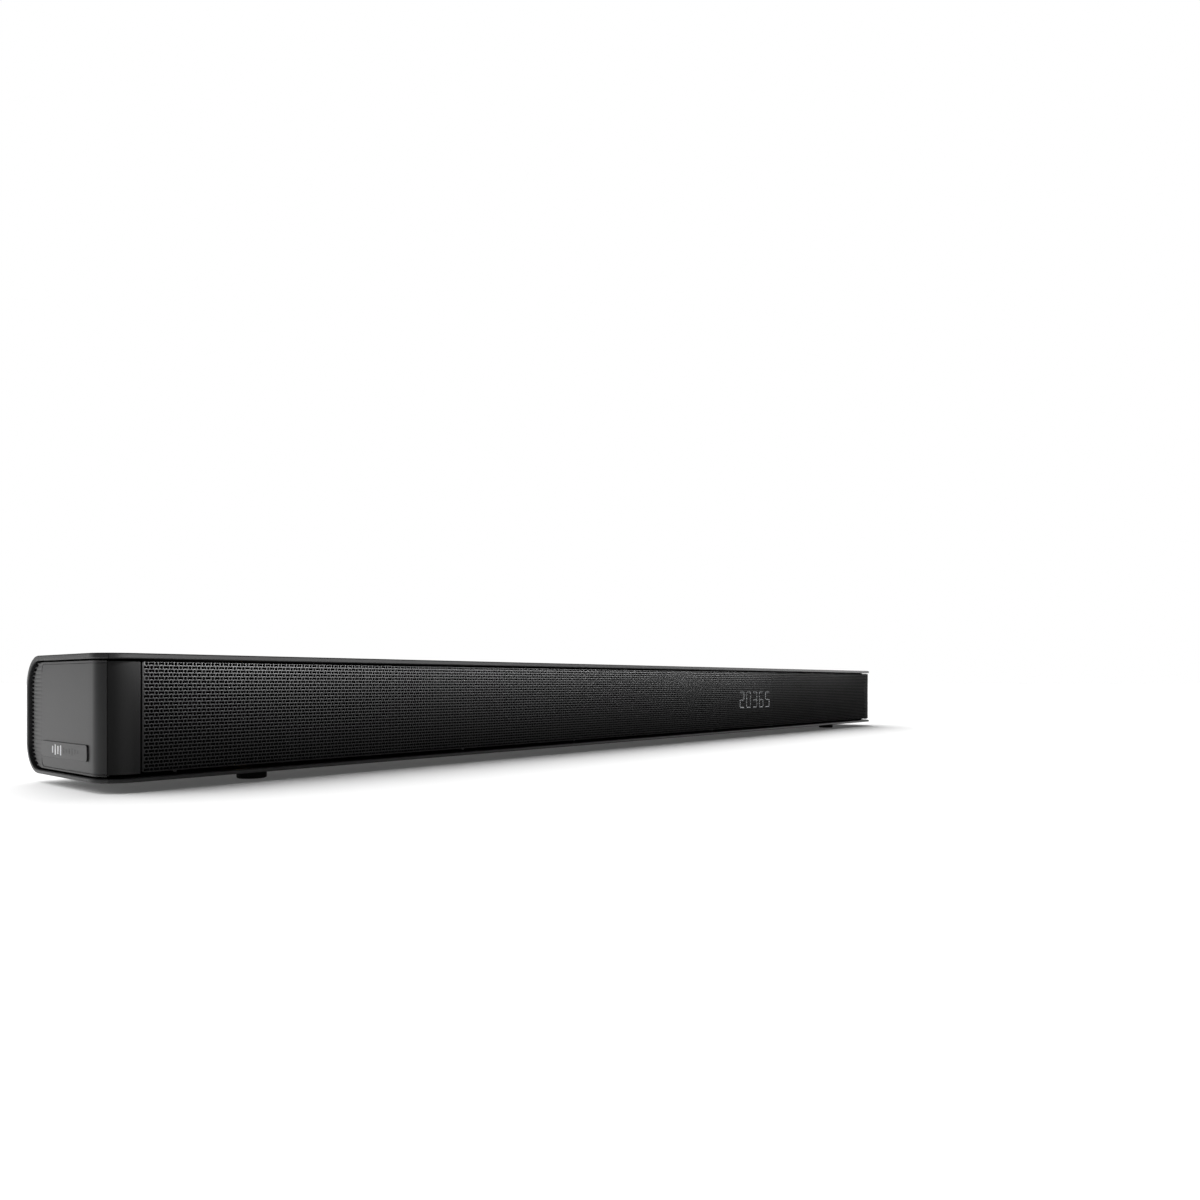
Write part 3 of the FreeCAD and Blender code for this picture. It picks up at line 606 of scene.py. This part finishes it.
# y of the panel's back edge at a height: straight, with a quarter circle at the top and bottom
def backEdge(z, back):
    r = cap["backRadius"]
    over = np.clip(np.maximum(z - (panelHigh - r), panelLow + r - z), 0, r)
    return back - r + np.sqrt(r * r - over * over)


# how far a rounded edge has fallen at a distance from it: r - sqrt(r^2 - (r - distance)^2)
def eased(distance, r):
    away = r - np.clip(distance, 0, r)
    return r - np.sqrt(r * r - away * away)


# positions packed towards both ends of a stretch, where edges are rounded
def packed(low, high, count, edge=0.3):
    near = edge * np.array([0, 0.07, 0.2, 0.4, 0.7, 1.0])
    return np.concatenate([low + near, np.linspace(low + edge, high - edge, count)[1:-1], high - near[::-1]])


# a closed slab between a front grid and the same grid pushed back
def slabOf(front, back):
    grid = gridQuads(*front.shape[:2])
    return weld([(front, grid), (back, grid), skin([rimOf(front), rimOf(back)])])


def endPanelShape():
    c, capEnd = cap, roundTo(capX)
    fine = np.arange(0.4, 4.6, 0.1)
    z = np.concatenate([packed(panelLow, panelLow + 0.6, 2)[:6], panelLow + fine,
                        np.linspace(panelLow + 4.6, panelHigh - 4.6, 190),
                        panelHigh - fine[::-1], packed(panelHigh - 0.6, panelHigh, 2)[-6:]])[:, None]
    root = backEdge(z, panelBack - c["toothLength"])
    share = np.append([0, 0.002, 0.006, 0.012, 0.02, 0.03], np.linspace(0.1, 1, 12))
    y = np.concatenate([root - (root - c["fineBack"]) * share,
                        np.arange(c["fineBack"] - 0.1, c["fineFront"] + 0.45, -0.1) + 0 * z,
                        np.linspace(c["fineFront"], cornerY, 12)[:-1] + 0 * z], axis=1)
    t = np.concatenate([cornerY - y, np.linspace(0, capEnd - 0.3, 9) + 0 * z,
                        capEnd - 0.3 * np.array([0.7, 0.4, 0.2, 0.07, 0]) + 0 * z], axis=1)
    z = z + 0 * t
    y = cornerY - t
    # groove: distance to a rounded rectangle that runs on past the front corner
    half = (panelHigh - panelLow) / 2 - c["band"] - c["groove"] / 2
    up = np.abs(z - (panelHigh + panelLow) / 2) - (half - c["grooveTurn"])
    along = y - (c["grooveEnd"] - c["grooveTurn"])
    away = np.hypot(np.maximum(up, 0), np.maximum(along, 0)) + np.minimum(np.maximum(up, along), 0)
    line = np.clip(np.abs(away - c["grooveTurn"]) / (0.8 * c["groove"]), 0, 1)
    fade = np.where(along > 0, np.clip((up + 2) / 3, 0.15, 1), 1)
    depth = c["grooveDepth"] * (1 - line ** 2) ** 2 * fade
    # flutes: a cosine across the height, one trough for each gap of the comb
    phase = (z - middleZ) / c["toothPitch"]
    trough = np.clip((0.5 + 0.5 * np.cos(2 * np.pi * phase) - 0.25) / 0.75, 0, 1)
    within = np.abs(z - middleZ) < c["toothPitch"] * c["teeth"] / 2
    rise = np.clip((y - c["fluteStart"]) / c["fluteLength"], 0, 1)
    depth = depth + c["fluteDepth"] * trough * within * rise
    depth = depth + eased(z - panelLow, c["edge"]) + eased(panelHigh - z, c["edge"])
    depth = depth + eased(root - y, c["edge"]) + eased(capEnd - t, 0.15)
    return slabOf(onFacePath(t, z, depth), onFacePath(t, z, c["thickness"]))


# the comb: short bars that carry the panel's face on to its back edge
def combShape():
    bars = []
    for k in range(cap["teeth"]):
        z = middleZ + cap["toothPitch"] * (k - (cap["teeth"] - 1) / 2)
        root, tip = (backEdge(z, panelBack - reach) for reach in (cap["toothLength"] + 0.5, 0.0))
        bar = plate(tip - root, cap["toothWidth"], cap["thickness"] - 0.1, 0.4, 0.2, arc=3)
        bars.append(placed(bar, "left", (-panelX + 0.02, (tip + root) / 2, z)))
    return together(bars)


# the rim is the shell's own end, and the web closes the gap behind the panel; its near-black finish is
# painted shade in that gap
def webShape():
    low, high = bottomZ + shell["bottomWall"] - 0.2, topZ - shell["topWall"] + 0.2
    r = shell["bendRadius"] - shell["rearWall"]
    outline = roundedRing(2 * (rearY - shell["rearWall"]) + 0.4, high - low, r, 10)
    keep = np.minimum(outline, (-cap["webFront"], 1e9))
    return placed(prism(keep, -cap["webThick"], 0), "left", (-capX - cap["webThick"], 0, (low + high) / 2))


badge = {
    "length": 61.0, "tall": 8.25, "thick": 0.7, "corner": 1.5, "edge": 0.25,
    "middleY": -0.5, "middleZ": 18.9,
    "barTops": (3.6, 5.4, 4.4, 5.2, 3.0, 1.8, 2.6, 3.6, 2.4, 1.6),
    "barPitch": 3.7, "barWidth": 1.7, "firstBar": 14.0, "bright": 4, "printLift": 0.04,
}


# a row of plain level bars, like a sound meter; the first few are printed white, the rest black
def badgePrintShape(first, last):
    b = badge
    front = -panelX - b["thick"] - b["printLift"]
    bars = []
    for k in range(first, last):
        bar = plate(b["barWidth"], b["barTops"][k], 0.12, 0.2, 0.03, steps=1, arc=2)
        bars.append(placed(bar, "left", (front, b["firstBar"] - k * b["barPitch"], b["middleZ"])))
    return together(bars)


rimMesh = cutAway(shellMesh.copy(), [((-capX, 0, 0), (1, 0, 0))])
panelShape, comb, web = endPanelShape(), combShape(), webShape()
for side, turn in (("left", lambda shape: shape), ("right", mirrored)):
    node = f"{side}_end_cap"
    rim = newObject(f"{side}CapRim", rimMesh.copy())
    if side == "right":
        rim.data.transform(((-1, 0, 0, 0), (0, 1, 0, 0), (0, 0, 1, 0), (0, 0, 0, 1)))
        faceOutwards(rim.data)
    dress(rim, "capPlastic", replaces=[node])
    makePiece(f"{side}EndPanel", turn(panelShape), "capPlastic", weigh=False,
              sharp=60)
    makePiece(f"{side}Comb", turn(comb), "capPlastic")
    # the web is near black: painted shade in the gap behind the panel
    makePiece(f"{side}CapWeb", turn(web), "paintedShadePlastic")
badgeShape = plate(badge["length"], badge["tall"], badge["thick"] + 0.2, badge["corner"], badge["edge"])
badgeShape = placed(badgeShape, "left", (-panelX - badge["thick"], badge["middleY"], badge["middleZ"]))
makePiece("badgePlate", badgeShape, "badgePlastic", replaces=["badge_plate"])
makePiece("badgePrint", badgePrintShape(0, badge["bright"]), "badgePrint")
makePiece("badgePrintDark", badgePrintShape(badge["bright"], len(badge["barTops"])), "badgePrintDark")
print("end caps and badge ready")


stile = {
    "low": stileLow[2], "high": stileHigh[2], "thickness": 2.4, "edge": 0.35,
    "innerX": capX - 13.6,     # its edge beside the grille
    "flangeSetback": 2.4, "flangeThick": 2.0,
    "windowX": 424.0, "windowMargin": 5.1,
}


# the corner stile: a slab on the face path, from the end cap's seam to the grille
def stileShape():
    low, high, edge = stile["low"], stile["high"], stile["edge"]
    start, end = roundTo(coverX), quarter - cornerX - stile["innerX"]
    t, z = np.meshgrid(packed(start, end, 30, edge), packed(low, high, 24, edge))
    fall = eased(z - low, edge) + eased(high - z, edge) + eased(t - start, 0.15) + eased(end - t, edge)
    return slabOf(onFacePath(t, z, fall), onFacePath(t, z, stile["thickness"]))


def flangeShape():
    f = stile
    outer, window = f["innerX"] + 1.5, f["windowX"]
    front = faceY + f["flangeSetback"]
    back = front + f["flangeThick"]
    bottom, sill = f["low"] + 1, f["low"] + f["windowMargin"]
    top, head = f["high"] - 1, f["high"] - f["windowMargin"]
    return together([
        block((-outer, front, head), (outer, back, top)),
        block((-outer, front, bottom), (outer, back, sill)),
        block((-outer, front, sill), (-window, back, head)),
        block((window, front, sill), (outer, back, head)),
    ])


stileSolid = stileShape()
makePiece("leftStile", stileSolid, "stilePlastic", replaces=["front_frame"])
makePiece("rightStile", mirrored(stileSolid), "stilePlastic")
# the flange behind the grille's border is near black: painted shade where it shows through the gaps
makePiece("frameFlange", flangeShape(), "paintedShadePlastic")


# A hole is given by the upper half of its outline, left to right; the lower half mirrors it.
# A cell is as many units wide as the outline has steps, so its edges meet the next row's.
grille = {
    "pairWidth": 4.756, "pairUnits": 8,          # one slot and one dot side by side
    "pitch": 1.80, "rows": 30, "pairs": 181,
    "slot": [(-1.38, 0.35), (-0.93, 0.77), (-0.24, 0.47), (0.24, 0.47), (0.93, 0.77), (1.38, 0.35)],
    "dot": [(-0.74, 0.35), (-0.33, 0.77), (0.33, 0.77), (0.74, 0.35)],
    "bands": 4,
    "sheet": 0.22, "wall": 0.22, "under": 0.1, "edge": 0.2, "corner": 1.2, "arc": 5,
}


# one cell repeated wherever units u cross rows v
def spread(cell, quads, u, v, unit, pitch):
    corner = np.stack([np.ravel(u) * unit, np.ravel(v) * pitch], 1)
    points = (corner[:, None] + cell).reshape(-1, 2)
    return points, (quads + np.arange(len(corner))[:, None, None] * len(cell)).reshape(-1, 4)


# quads between the outline of a hole and its cell, for cells that start at units u in rows v
def cellFaces(u, v, hole, unit, pitch):
    upper = np.array(hole, float)
    x = np.arange(len(upper)) * unit
    ring = np.concatenate([upper, upper[::-1] * (1, -1)]) + (x[-1] / 2, pitch / 2)
    edge = np.concatenate([np.stack([x, 0 * x + pitch], 1), np.stack([x[::-1], 0 * x], 1)])
    k = np.arange(len(ring))
    after = (k + 1) % len(k)
    quads = np.stack([k, after, after + len(k), k + len(k)], 1)
    return spread(np.concatenate([ring, edge]), quads, u, v, unit, pitch)


# plain cells of one unit
def plainFaces(u, v, unit, pitch):
    cell = np.array([(0, 0), (unit, 0), (unit, pitch), (0, pitch)])
    return spread(cell, np.arange(4)[None], u, v, unit, pitch)


# A flat perforated sheet with a given front and back level: the front faces, the same faces
# behind, and a wall along every edge that only one face has, which closes holes and border.
def sheetSolid(patches, thick):
    points, faces = weld([(atLevel(points, 0), faces) for points, faces in patches])
    faces = np.concatenate(faces)
    n = len(points)
    edges = np.stack([faces, np.roll(faces, -1, axis=1)], -1).reshape(-1, 2)
    code = edges[:, 0] * n + edges[:, 1]
    alone = ~np.isin(code, edges[:, 1] * n + edges[:, 0])
    a, b = edges[alone].T
    walls = np.stack([b, a, a + n, b + n], 1)
    points = np.concatenate([points, points - (0, 0, thick)])
    return points, [faces, faces[:, ::-1] + n, walls]


def grilleBand(first, last):
    g = grille
    size = unit, g["pitch"]
    even, odd = np.arange(0, g["rows"], 2), np.arange(1, g["rows"], 2)
    starts = np.arange(first, last) * g["pairUnits"]
    u, v = np.meshgrid(starts, even)
    patches = [cellFaces(u, v, g["slot"], *size), cellFaces(u + 5, v, g["dot"], *size)]
    # odd rows stand half a repeat along: a dot, then a slot across the end of the pair
    u, v = np.meshgrid(starts, odd)
    patches.append(cellFaces(u + 1, v, g["dot"], *size))
    within = u < (g["pairs"] - 1) * g["pairUnits"]
    patches.append(cellFaces(u[within] + 4, v[within], g["slot"], *size))
    if first == 0:
        patches.append(plainFaces(0 * odd, odd, *size))
    if last == g["pairs"]:
        u, v = np.meshgrid(starts[-1] + np.arange(4, 8), odd)
        patches.append(plainFaces(u, v, *size))
    return sheetSolid(patches, g["sheet"])


# A plain border round a perforated area, carried round as one closed profile: out from the holes,
# over the rounded edge, down the outside, in by the wall's width and up to the sheet.
def borderShape(g, area, width, tall, depth):
    t = np.radians(np.linspace(0, 90, 4))
    under = -g["sheet"] - g["under"]
    folded = [(g["edge"] * (1 - math.sin(a)), -g["edge"] * (1 - math.cos(a))) for a in t]
    folded += [(0, -depth), (g["wall"], -depth), (g["wall"], under)]
    inner = atLevel(roundedRing(*area, 0.01, g["arc"]), 0)
    rings = [inner]
    for inset, level in folded:
        ring = roundedRing(width - 2 * inset, tall - 2 * inset, g["corner"] - inset, g["arc"])
        rings.append(atLevel(ring, level))
    return weld([skin(rings + [inner - (0, 0, g["sheet"]), inner])])


unit = grille["pairWidth"] / grille["pairUnits"]
grilleSize, grilleMiddle = grilleHigh - grilleLow, (grilleLow + grilleHigh) / 2
area = np.array([grille["pairs"] * grille["pairWidth"], grille["rows"] * grille["pitch"]])
corner = (-area[0] / 2, faceY, grilleMiddle[2] - area[1] / 2)
breaks = np.linspace(0, grille["pairs"], grille["bands"] + 1).astype(int)
for number, (first, last) in enumerate(zip(breaks[:-1], breaks[1:]), 1):
    makePiece(f"grilleBand{number}", placed(grilleBand(first, last), "front", corner), "grillePaint",
              asMade=True, weigh=False, sharp=180, replaces=["front_grille"] * (number == 1))
border = borderShape(grille, area, grilleSize[0], grilleSize[2], grilleSize[1])
makePiece("grilleBorder", placed(border, "front", (0, faceY, grilleMiddle[2])), "grillePaint")
print("grille ready")


display = {
    "middleX": 163.0, "middleZ": 36.6,
    "digits": (2, 0, 3, 6, 5),
    "pitch": 12.5, "width": 8.4, "tall": 15.8, "stroke": 1.0, "gap": 0.3,
    "thick": 0.1, "lift": 0.1,
}


# cloth stretched over the flange, with a window cut out for the display
def clothShape(low, high, windowLow, windowHigh):
    lines = []
    for axis, counts in ((0, (60, 9, 30)), (2, (4, 5, 4))):
        edges = low[axis], windowLow[axis], windowHigh[axis], high[axis]
        lines.append(np.unique(np.concatenate([np.linspace(*run) for run in zip(edges, edges[1:], counts)])))
    points = np.stack(np.meshgrid(*lines), -1).reshape(-1, 2)
    quads = gridQuads(len(lines[1]), len(lines[0]))
    middle = points[quads].mean(1)
    inside = ((middle > windowLow[[0, 2]]) & (middle < windowHigh[[0, 2]])).all(1)
    return sheetSolid([(points, quads[~inside])], high[1] - low[1])


clothLow, clothHigh = span("acoustic_cloth")
lensLow, lensHigh = span("display_lens")
windowLow, windowHigh = lensLow - 1.0, lensHigh + 1.0
clothSheet = placed(clothShape(clothLow, clothHigh, windowLow, windowHigh), "front", (0, clothLow[1], 0))
cloth = makePiece("acousticCloth", clothSheet, "cloth",
                  replaces=["acoustic_cloth"])

# which of the seven segments each numeral lights: top, upper left, upper right, middle,
# lower left, lower right, bottom
segmentsLit = {0: "1110111", 1: "0010010", 2: "1011101", 3: "1011011", 4: "0111010",
               5: "1101011", 6: "1101111", 7: "1010010", 8: "1111111", 9: "1111011"}


# a segment is a bar whose two ends come to a point
def segmentShape(length, stroke, thick):
    half, tip = length / 2, stroke / 2
    outline = np.array([(half, 0), (half - tip, tip), (tip - half, tip), (-half, 0)])
    return prism(np.concatenate([outline, outline[2:0:-1] * (1, -1)]), -thick, 0)


# the level segments of a numeral, or its upright ones, which are fainter
def numeralShape(digit, upright):
    d = display
    w, h = (d["width"] - d["stroke"]) / 2, (d["tall"] - d["stroke"]) / 2
    level = segmentShape(2 * w - d["gap"], d["stroke"], d["thick"])
    post = placed(segmentShape(h - d["gap"], d["stroke"], d["thick"]), "upright", (0, 0, 0))
    spots = [(0, h, level), (-w, h / 2, post), (w, h / 2, post), (0, 0, level),
             (-w, -h / 2, post), (w, -h / 2, post), (0, -h, level)]
    lit = [spot for spot, on in zip(spots, segmentsLit[digit]) if on == "1" and (spot[2] is post) == upright]
    return together([(points + (x, z, 0), faces) for x, z, (points, faces) in lit])


for place, digit in enumerate(display["digits"]):
    x = display["middleX"] + (place - (len(display["digits"]) - 1) / 2) * display["pitch"]
    at = (x, lensLow[1] - display["lift"], display["middleZ"])
    for kind, upright in (("Bars", False), ("Posts", True)):
        makePiece(f"numeral{place + 1}{kind}", placed(numeralShape(digit, upright), "front", at),
                  "litPost" if upright else "litBar", weigh=False)
print("cloth and display ready")


footLow, footHigh = span("rubber_feet")
foot = {"radius": 8.0, "chamfer": 0.8, "dish": 0.5, "dishRadius": 6.4}
footX, footY = footHigh[0] - foot["radius"], footHigh[1] - foot["radius"]
r, edge, tall = foot["radius"], foot["chamfer"], bottomZ - footLow[2]
# a low round foot, facing down: chamfered edge, shallow dish in the sole
footProfile = [(r, -tall), (r, -edge), (r - 0.25 * edge, -0.3 * edge), (r - edge, 0),
               (foot["dishRadius"] + 0.4, 0), (foot["dishRadius"], -foot["dish"]), (0.5, -foot["dish"] - 0.1)]
feet = [placed(turned(footProfile), "down", (x, y, footLow[2]))
        for x in (-footX, footX) for y in (-footY, footY)]
makePiece("rubberFeet", together(feet), "footRubber", replaces=["rubber_feet"])


topGrille = {
    "margin": 4.0, "unit": 0.62, "pitch": 2.2, "holeRadius": 0.72,
    "sheet": 1.0, "wall": 1.5, "under": 0, "edge": 0.5, "corner": 6.0, "arc": 6,
}


# rows of round holes, every other row half a cell along, in a plain rounded border whose wall
# leaves room for the cone below
def topGrilleShape(low, high):
    g = topGrille
    size = g["unit"], g["pitch"]
    width, deep, thick = high - low
    cells = int((width - 2 * g["margin"]) / (4 * g["unit"]))
    rows = int((deep - 2 * g["margin"]) / g["pitch"])
    t = np.radians(np.linspace(162, 18, 5))
    hole = np.stack([np.cos(t), np.sin(t)], 1) * g["holeRadius"]
    patches = []
    for parity in (0, 1):
        u, v = np.meshgrid(np.arange(cells - parity) * 4 + 2 * parity, np.arange(parity, rows, 2))
        patches.append(cellFaces(u, v, hole, *size))
    u, v = np.meshgrid((0, 1, 4 * cells - 2, 4 * cells - 1), np.arange(1, rows, 2))
    patches.append(plainFaces(u, v, *size))
    area = np.array([cells * 4, rows]) * size
    middle = (*(low + high)[:2] / 2, high[2])
    holes = placed(sheetSolid(patches, g["sheet"]), "up", (*middle[:2] - area / 2, high[2]))
    return holes, placed(borderShape(g, area, width, deep, thick), "up", middle)


for side in ("left", "right"):
    name = f"{side}_height_grille"
    holes, border = topGrilleShape(*span(name))
    makePiece(f"{side}TopGrille", holes, "grillePaint", asMade=True, replaces=[name], sharp=40)
    makePiece(f"{side}TopGrilleBorder", border, "grillePaint")


controls = {"keyRadius": 4.9, "keyGap": 0.35, "edge": 0.5, "dish": 0.35, "strokeLift": 0.03, "stroke": 0.5}
bezelShape = plate(bezelWide, bezelTall, bezelHigh[2] - bezelLow[2], bezelTall / 2, controls["edge"], arc=12)
bezelShape = placed(bezelShape, "up", (*bezelMiddle[:2], bezelHigh[2]))
bezel = newObject("controlBezel", meshFrom("controlBezel", *bezelShape))
faceOutwards(bezel.data)
keys = {f"{name}_button": span(f"{name}_button") for name in ("power", "source", "volume_down", "volume_up")}
keyPlaces = {name: (low + high)[:2] / 2 for name, (low, high) in keys.items()}
holeRadius = controls["keyRadius"] + controls["keyGap"]
carve(bezel, together([disc(holeRadius, bezelLow[2] - 2, bezelHigh[2] + 2, (*at, 0), sides=48)
                       for at in keyPlaces.values()]))
dress(bezel, "stilePlastic", slot="panel_plastic", replaces=["control_bezel"])


# a flat stroke along a line of points, for the marks on the keys
def strokeShape(line, width, thick=0.1):
    line = np.asarray(line, float)
    along = np.gradient(line, axis=0)
    across = np.stack([-along[:, 1], along[:, 0]], 1) / np.linalg.norm(along, axis=1)[:, None] * width / 2
    outline = np.concatenate([line + across, (line - across)[::-1]])
    n = len(outline)
    points = np.concatenate([atLevel(outline, z) for z in (-thick, 0)])
    k = np.arange(len(line) - 1)
    lid = np.stack([k, n - 1 - k, n - 2 - k, k + 1], 1)
    return points, [gridQuads(2, n, wrap=True), lid + n, lid[:, ::-1]]


def arcLine(radius, start, end, steps=24):
    t = np.radians(np.linspace(start, end, steps + 1))
    return np.stack([np.cos(t), np.sin(t)], 1) * radius


keyMarks = {
    "power_button": [arcLine(1.7, 125, 415), [(0, 0.5), (0, 2.3)]],
    "source_button": [[(-0.9, 1.5), (-2.0, 1.5)], [(-2.0, 1.75), (-2.0, -1.75)], [(-2.0, -1.5), (-0.9, -1.5)],
               [(-0.9, 0), (2.0, 0)], [(0.9, 1.1), (2.0, 0)], [(0.9, -1.1), (2.0, 0)]],
    "volume_down_button": [[(-1.8, 0), (1.8, 0)]],
    "volume_up_button": [[(-1.8, 0), (1.8, 0)], [(0, -1.8), (0, 1.8)]],
}
for name, (low, high) in keys.items():
    r, edge, dish = controls["keyRadius"], controls["edge"], controls["dish"]
    t = np.radians(np.linspace(0, 90, 5))
    profile = [(r, low[2] - high[2])]
    profile += [(r - edge + edge * math.cos(a), -edge + edge * math.sin(a)) for a in t]
    # the top is dished like a shallow bowl: -dish (1 - (radius / rim)^2)^2
    rim = r - edge
    profile += [(rim * q, -dish * (1 - q * q) ** 2) for q in (0.9, 0.78, 0.65, 0.5, 0.35, 0.2, 0.08)]
    key = placed(turned(profile, 64), "up", (*keyPlaces[name], high[2]))
    first, *rest = name.split("_")
    title = first + "".join(word.title() for word in rest)
    makePiece(title, key, "keyRubber", body=name, replaces=[name], sharp=50)
    marks = together([strokeShape(line, controls["stroke"]) for line in keyMarks[name]])
    points = marks[0]
    q = np.linalg.norm(points[:, :2], axis=1) / rim
    points[:, 2] += controls["strokeLift"] - dish * (1 - np.minimum(q, 1) ** 2) ** 2
    marks = placed((points, marks[1]), "up", (*keyPlaces[name], high[2]))
    makePiece(f"{title}Mark", marks, "keyPrint", body=name, weigh=False)
print("feet, top grilles and controls ready")


floor = {"size": 60.0, "colour": 0.80, "glow": 0.070}
halfFloor = floor["size"] / 2 / mm
floorCorners = np.array([(-1, -1, 0), (1, -1, 0), (1, 1, 0), (-1, 1, 0)]) * halfFloor
ground = newObject("floor", meshFrom("floor", floorCorners, np.arange(4)[None]))
paper = finishOf("paper", floor["colour"], 300, 0.9, vary=0.004, bump=0.02, specular=0.1)
setSockets(paper.node_tree.nodes["Principled BSDF"], {"Emission Color": (1, 1, 1, 1),
                                                      "Emission Strength": floor["glow"]})
ground.data.materials.append(paper)

frontNames = [f"grilleBand{number + 1}" for number in range(grille["bands"])]
frontNames += ["grilleBorder", "frameFlange", "leftStile", "rightStile"]
# the pieces a light reaches, by group; allButFloor names what it doesn't
groupNames = {
    "floorOnly": ["floor"], "allButFloor": ["floor"], "front": frontNames, "cover": ["topCover"],
    "lips": ["topCover", "bottomTray", "rightCapRim"], "cap": ["leftCapRim", "leftStile"],
}
groups = {}
for name, pieces in groupNames.items():
    groups[name] = bpy.data.collections.new(name)
    for piece in pieces:
        groups[name].objects.link(bpy.data.objects[piece])
    for entry in groups[name].collection_objects:
        entry.light_linking.link_state = "EXCLUDE" if name == "allButFloor" else "INCLUDE"

# each light's place, what it points at, its size, its power and the group it reaches
lights = {
    "sideCard": ((-1.05, 1.15, 0.40), (-0.45, 0.0, 0.03), (0.9, 0.8), 1.8, "allButFloor"),
    "topSoft": ((0.0, 0.25, 1.2), (0.0, 0.05, 0.06), (1.6, 0.6), 1.6, "allButFloor"),
    "farCard": ((1.6, -0.65, 0.15), (0.4, -0.05, 0.03), (1.2, 0.8), 14.0, "lips"),
    "lipSoft": ((-0.1, -0.75, 0.13), (0.0, -0.05, 0.06), (1.4, 0.1), 10.5, "cover"),
    "capSoft": ((-0.6, -1.0, 0.10), (-0.44, -0.05, 0.03), (0.9, 0.3), 5.0, "cap"),
}
# a thin strip of lights just above the front, weaker towards the right: from x, to x, power
strip = {"y": -0.075, "z": 0.100, "tilt": 14, "height": 0.006,
         "runs": [(-0.43, -0.33, 1.45), (-0.33, -0.10, 2.2), (-0.10, 0.18, 2.1), (0.18, 0.42, 0.68)]}
stripAim = np.array([0, 1, math.tan(math.radians(strip["tilt"]))])
for number, (low, high, power) in enumerate(strip["runs"], 1):
    place = ((low + high) / 2, strip["y"], strip["z"])
    lights[f"strip{number}"] = (place, place + stripAim, (high - low, strip["height"]), power, "front")


def addLight(name, place, aim, size, power, group):
    data = bpy.data.lights.new(name, "AREA")
    data.shape = "RECTANGLE"
    data.size, data.size_y = size
    data.energy = power
    light = newObject(name, data)
    light.location = place
    # a light shines along its own -Z: tip it from straight down, then turn it round
    x, y, z = np.subtract(aim, place)
    light.rotation_euler = (math.acos(-z / math.hypot(x, y, z)), 0, math.atan2(y, x) - math.pi / 2)
    light.visible_camera = False
    light.light_linking.receiver_collection = groups[group]


for name, look in lights.items():
    addLight(name, *look)

sky = {"sun": 7.0, "sunAngle": 110, "sunTilt": -50, "seen": 1.0, "fill": 0.04}
# the overhead light whitens the floor only, so the bar keeps its dark front
sun = bpy.data.lights.new("overhead", "SUN")
sun.energy = sky["sun"]
sun.angle = math.radians(sky["sunAngle"])
overhead = newObject("overhead", sun)
overhead.location = (0, 0, 2)
overhead.rotation_euler = (math.radians(sky["sunTilt"]), 0, 0)
overhead.light_linking.receiver_collection = groups["floorOnly"]

# a white backdrop to look at, and a weak fill to light with
world = bpy.data.worlds.new("studio")
bpy.context.scene.world = world
world.use_nodes = True
tree = world.node_tree
backdrop = tree.nodes["Background"]
path = addNode(tree, "ShaderNodeLightPath")
level = addNode(tree, "ShaderNodeMapRange", **{"To Min": sky["fill"], "To Max": sky["seen"]})
tree.links.new(path.outputs["Is Camera Ray"], level.inputs["Value"])
tree.links.new(level.outputs["Result"], backdrop.inputs["Strength"])
backdrop.inputs["Color"].default_value = (1, 1, 1, 1)

camera = {"place": (-0.6184, -0.4992, 0.0536), "turn": -50.05, "lens": 26.47, "shiftY": 0.0688}
cameraData = bpy.data.cameras.new("camera")
cameraData.lens = camera["lens"]
cameraData.sensor_width = 36
cameraData.shift_y = camera["shiftY"]
cameraData.clip_start = 0.01
viewer = newObject("camera", cameraData)
viewer.location = camera["place"]
viewer.rotation_euler = (math.radians(90), 0, math.radians(camera["turn"]))
bpy.context.scene.camera = viewer
bpy.context.scene.view_settings.view_transform = "Standard"
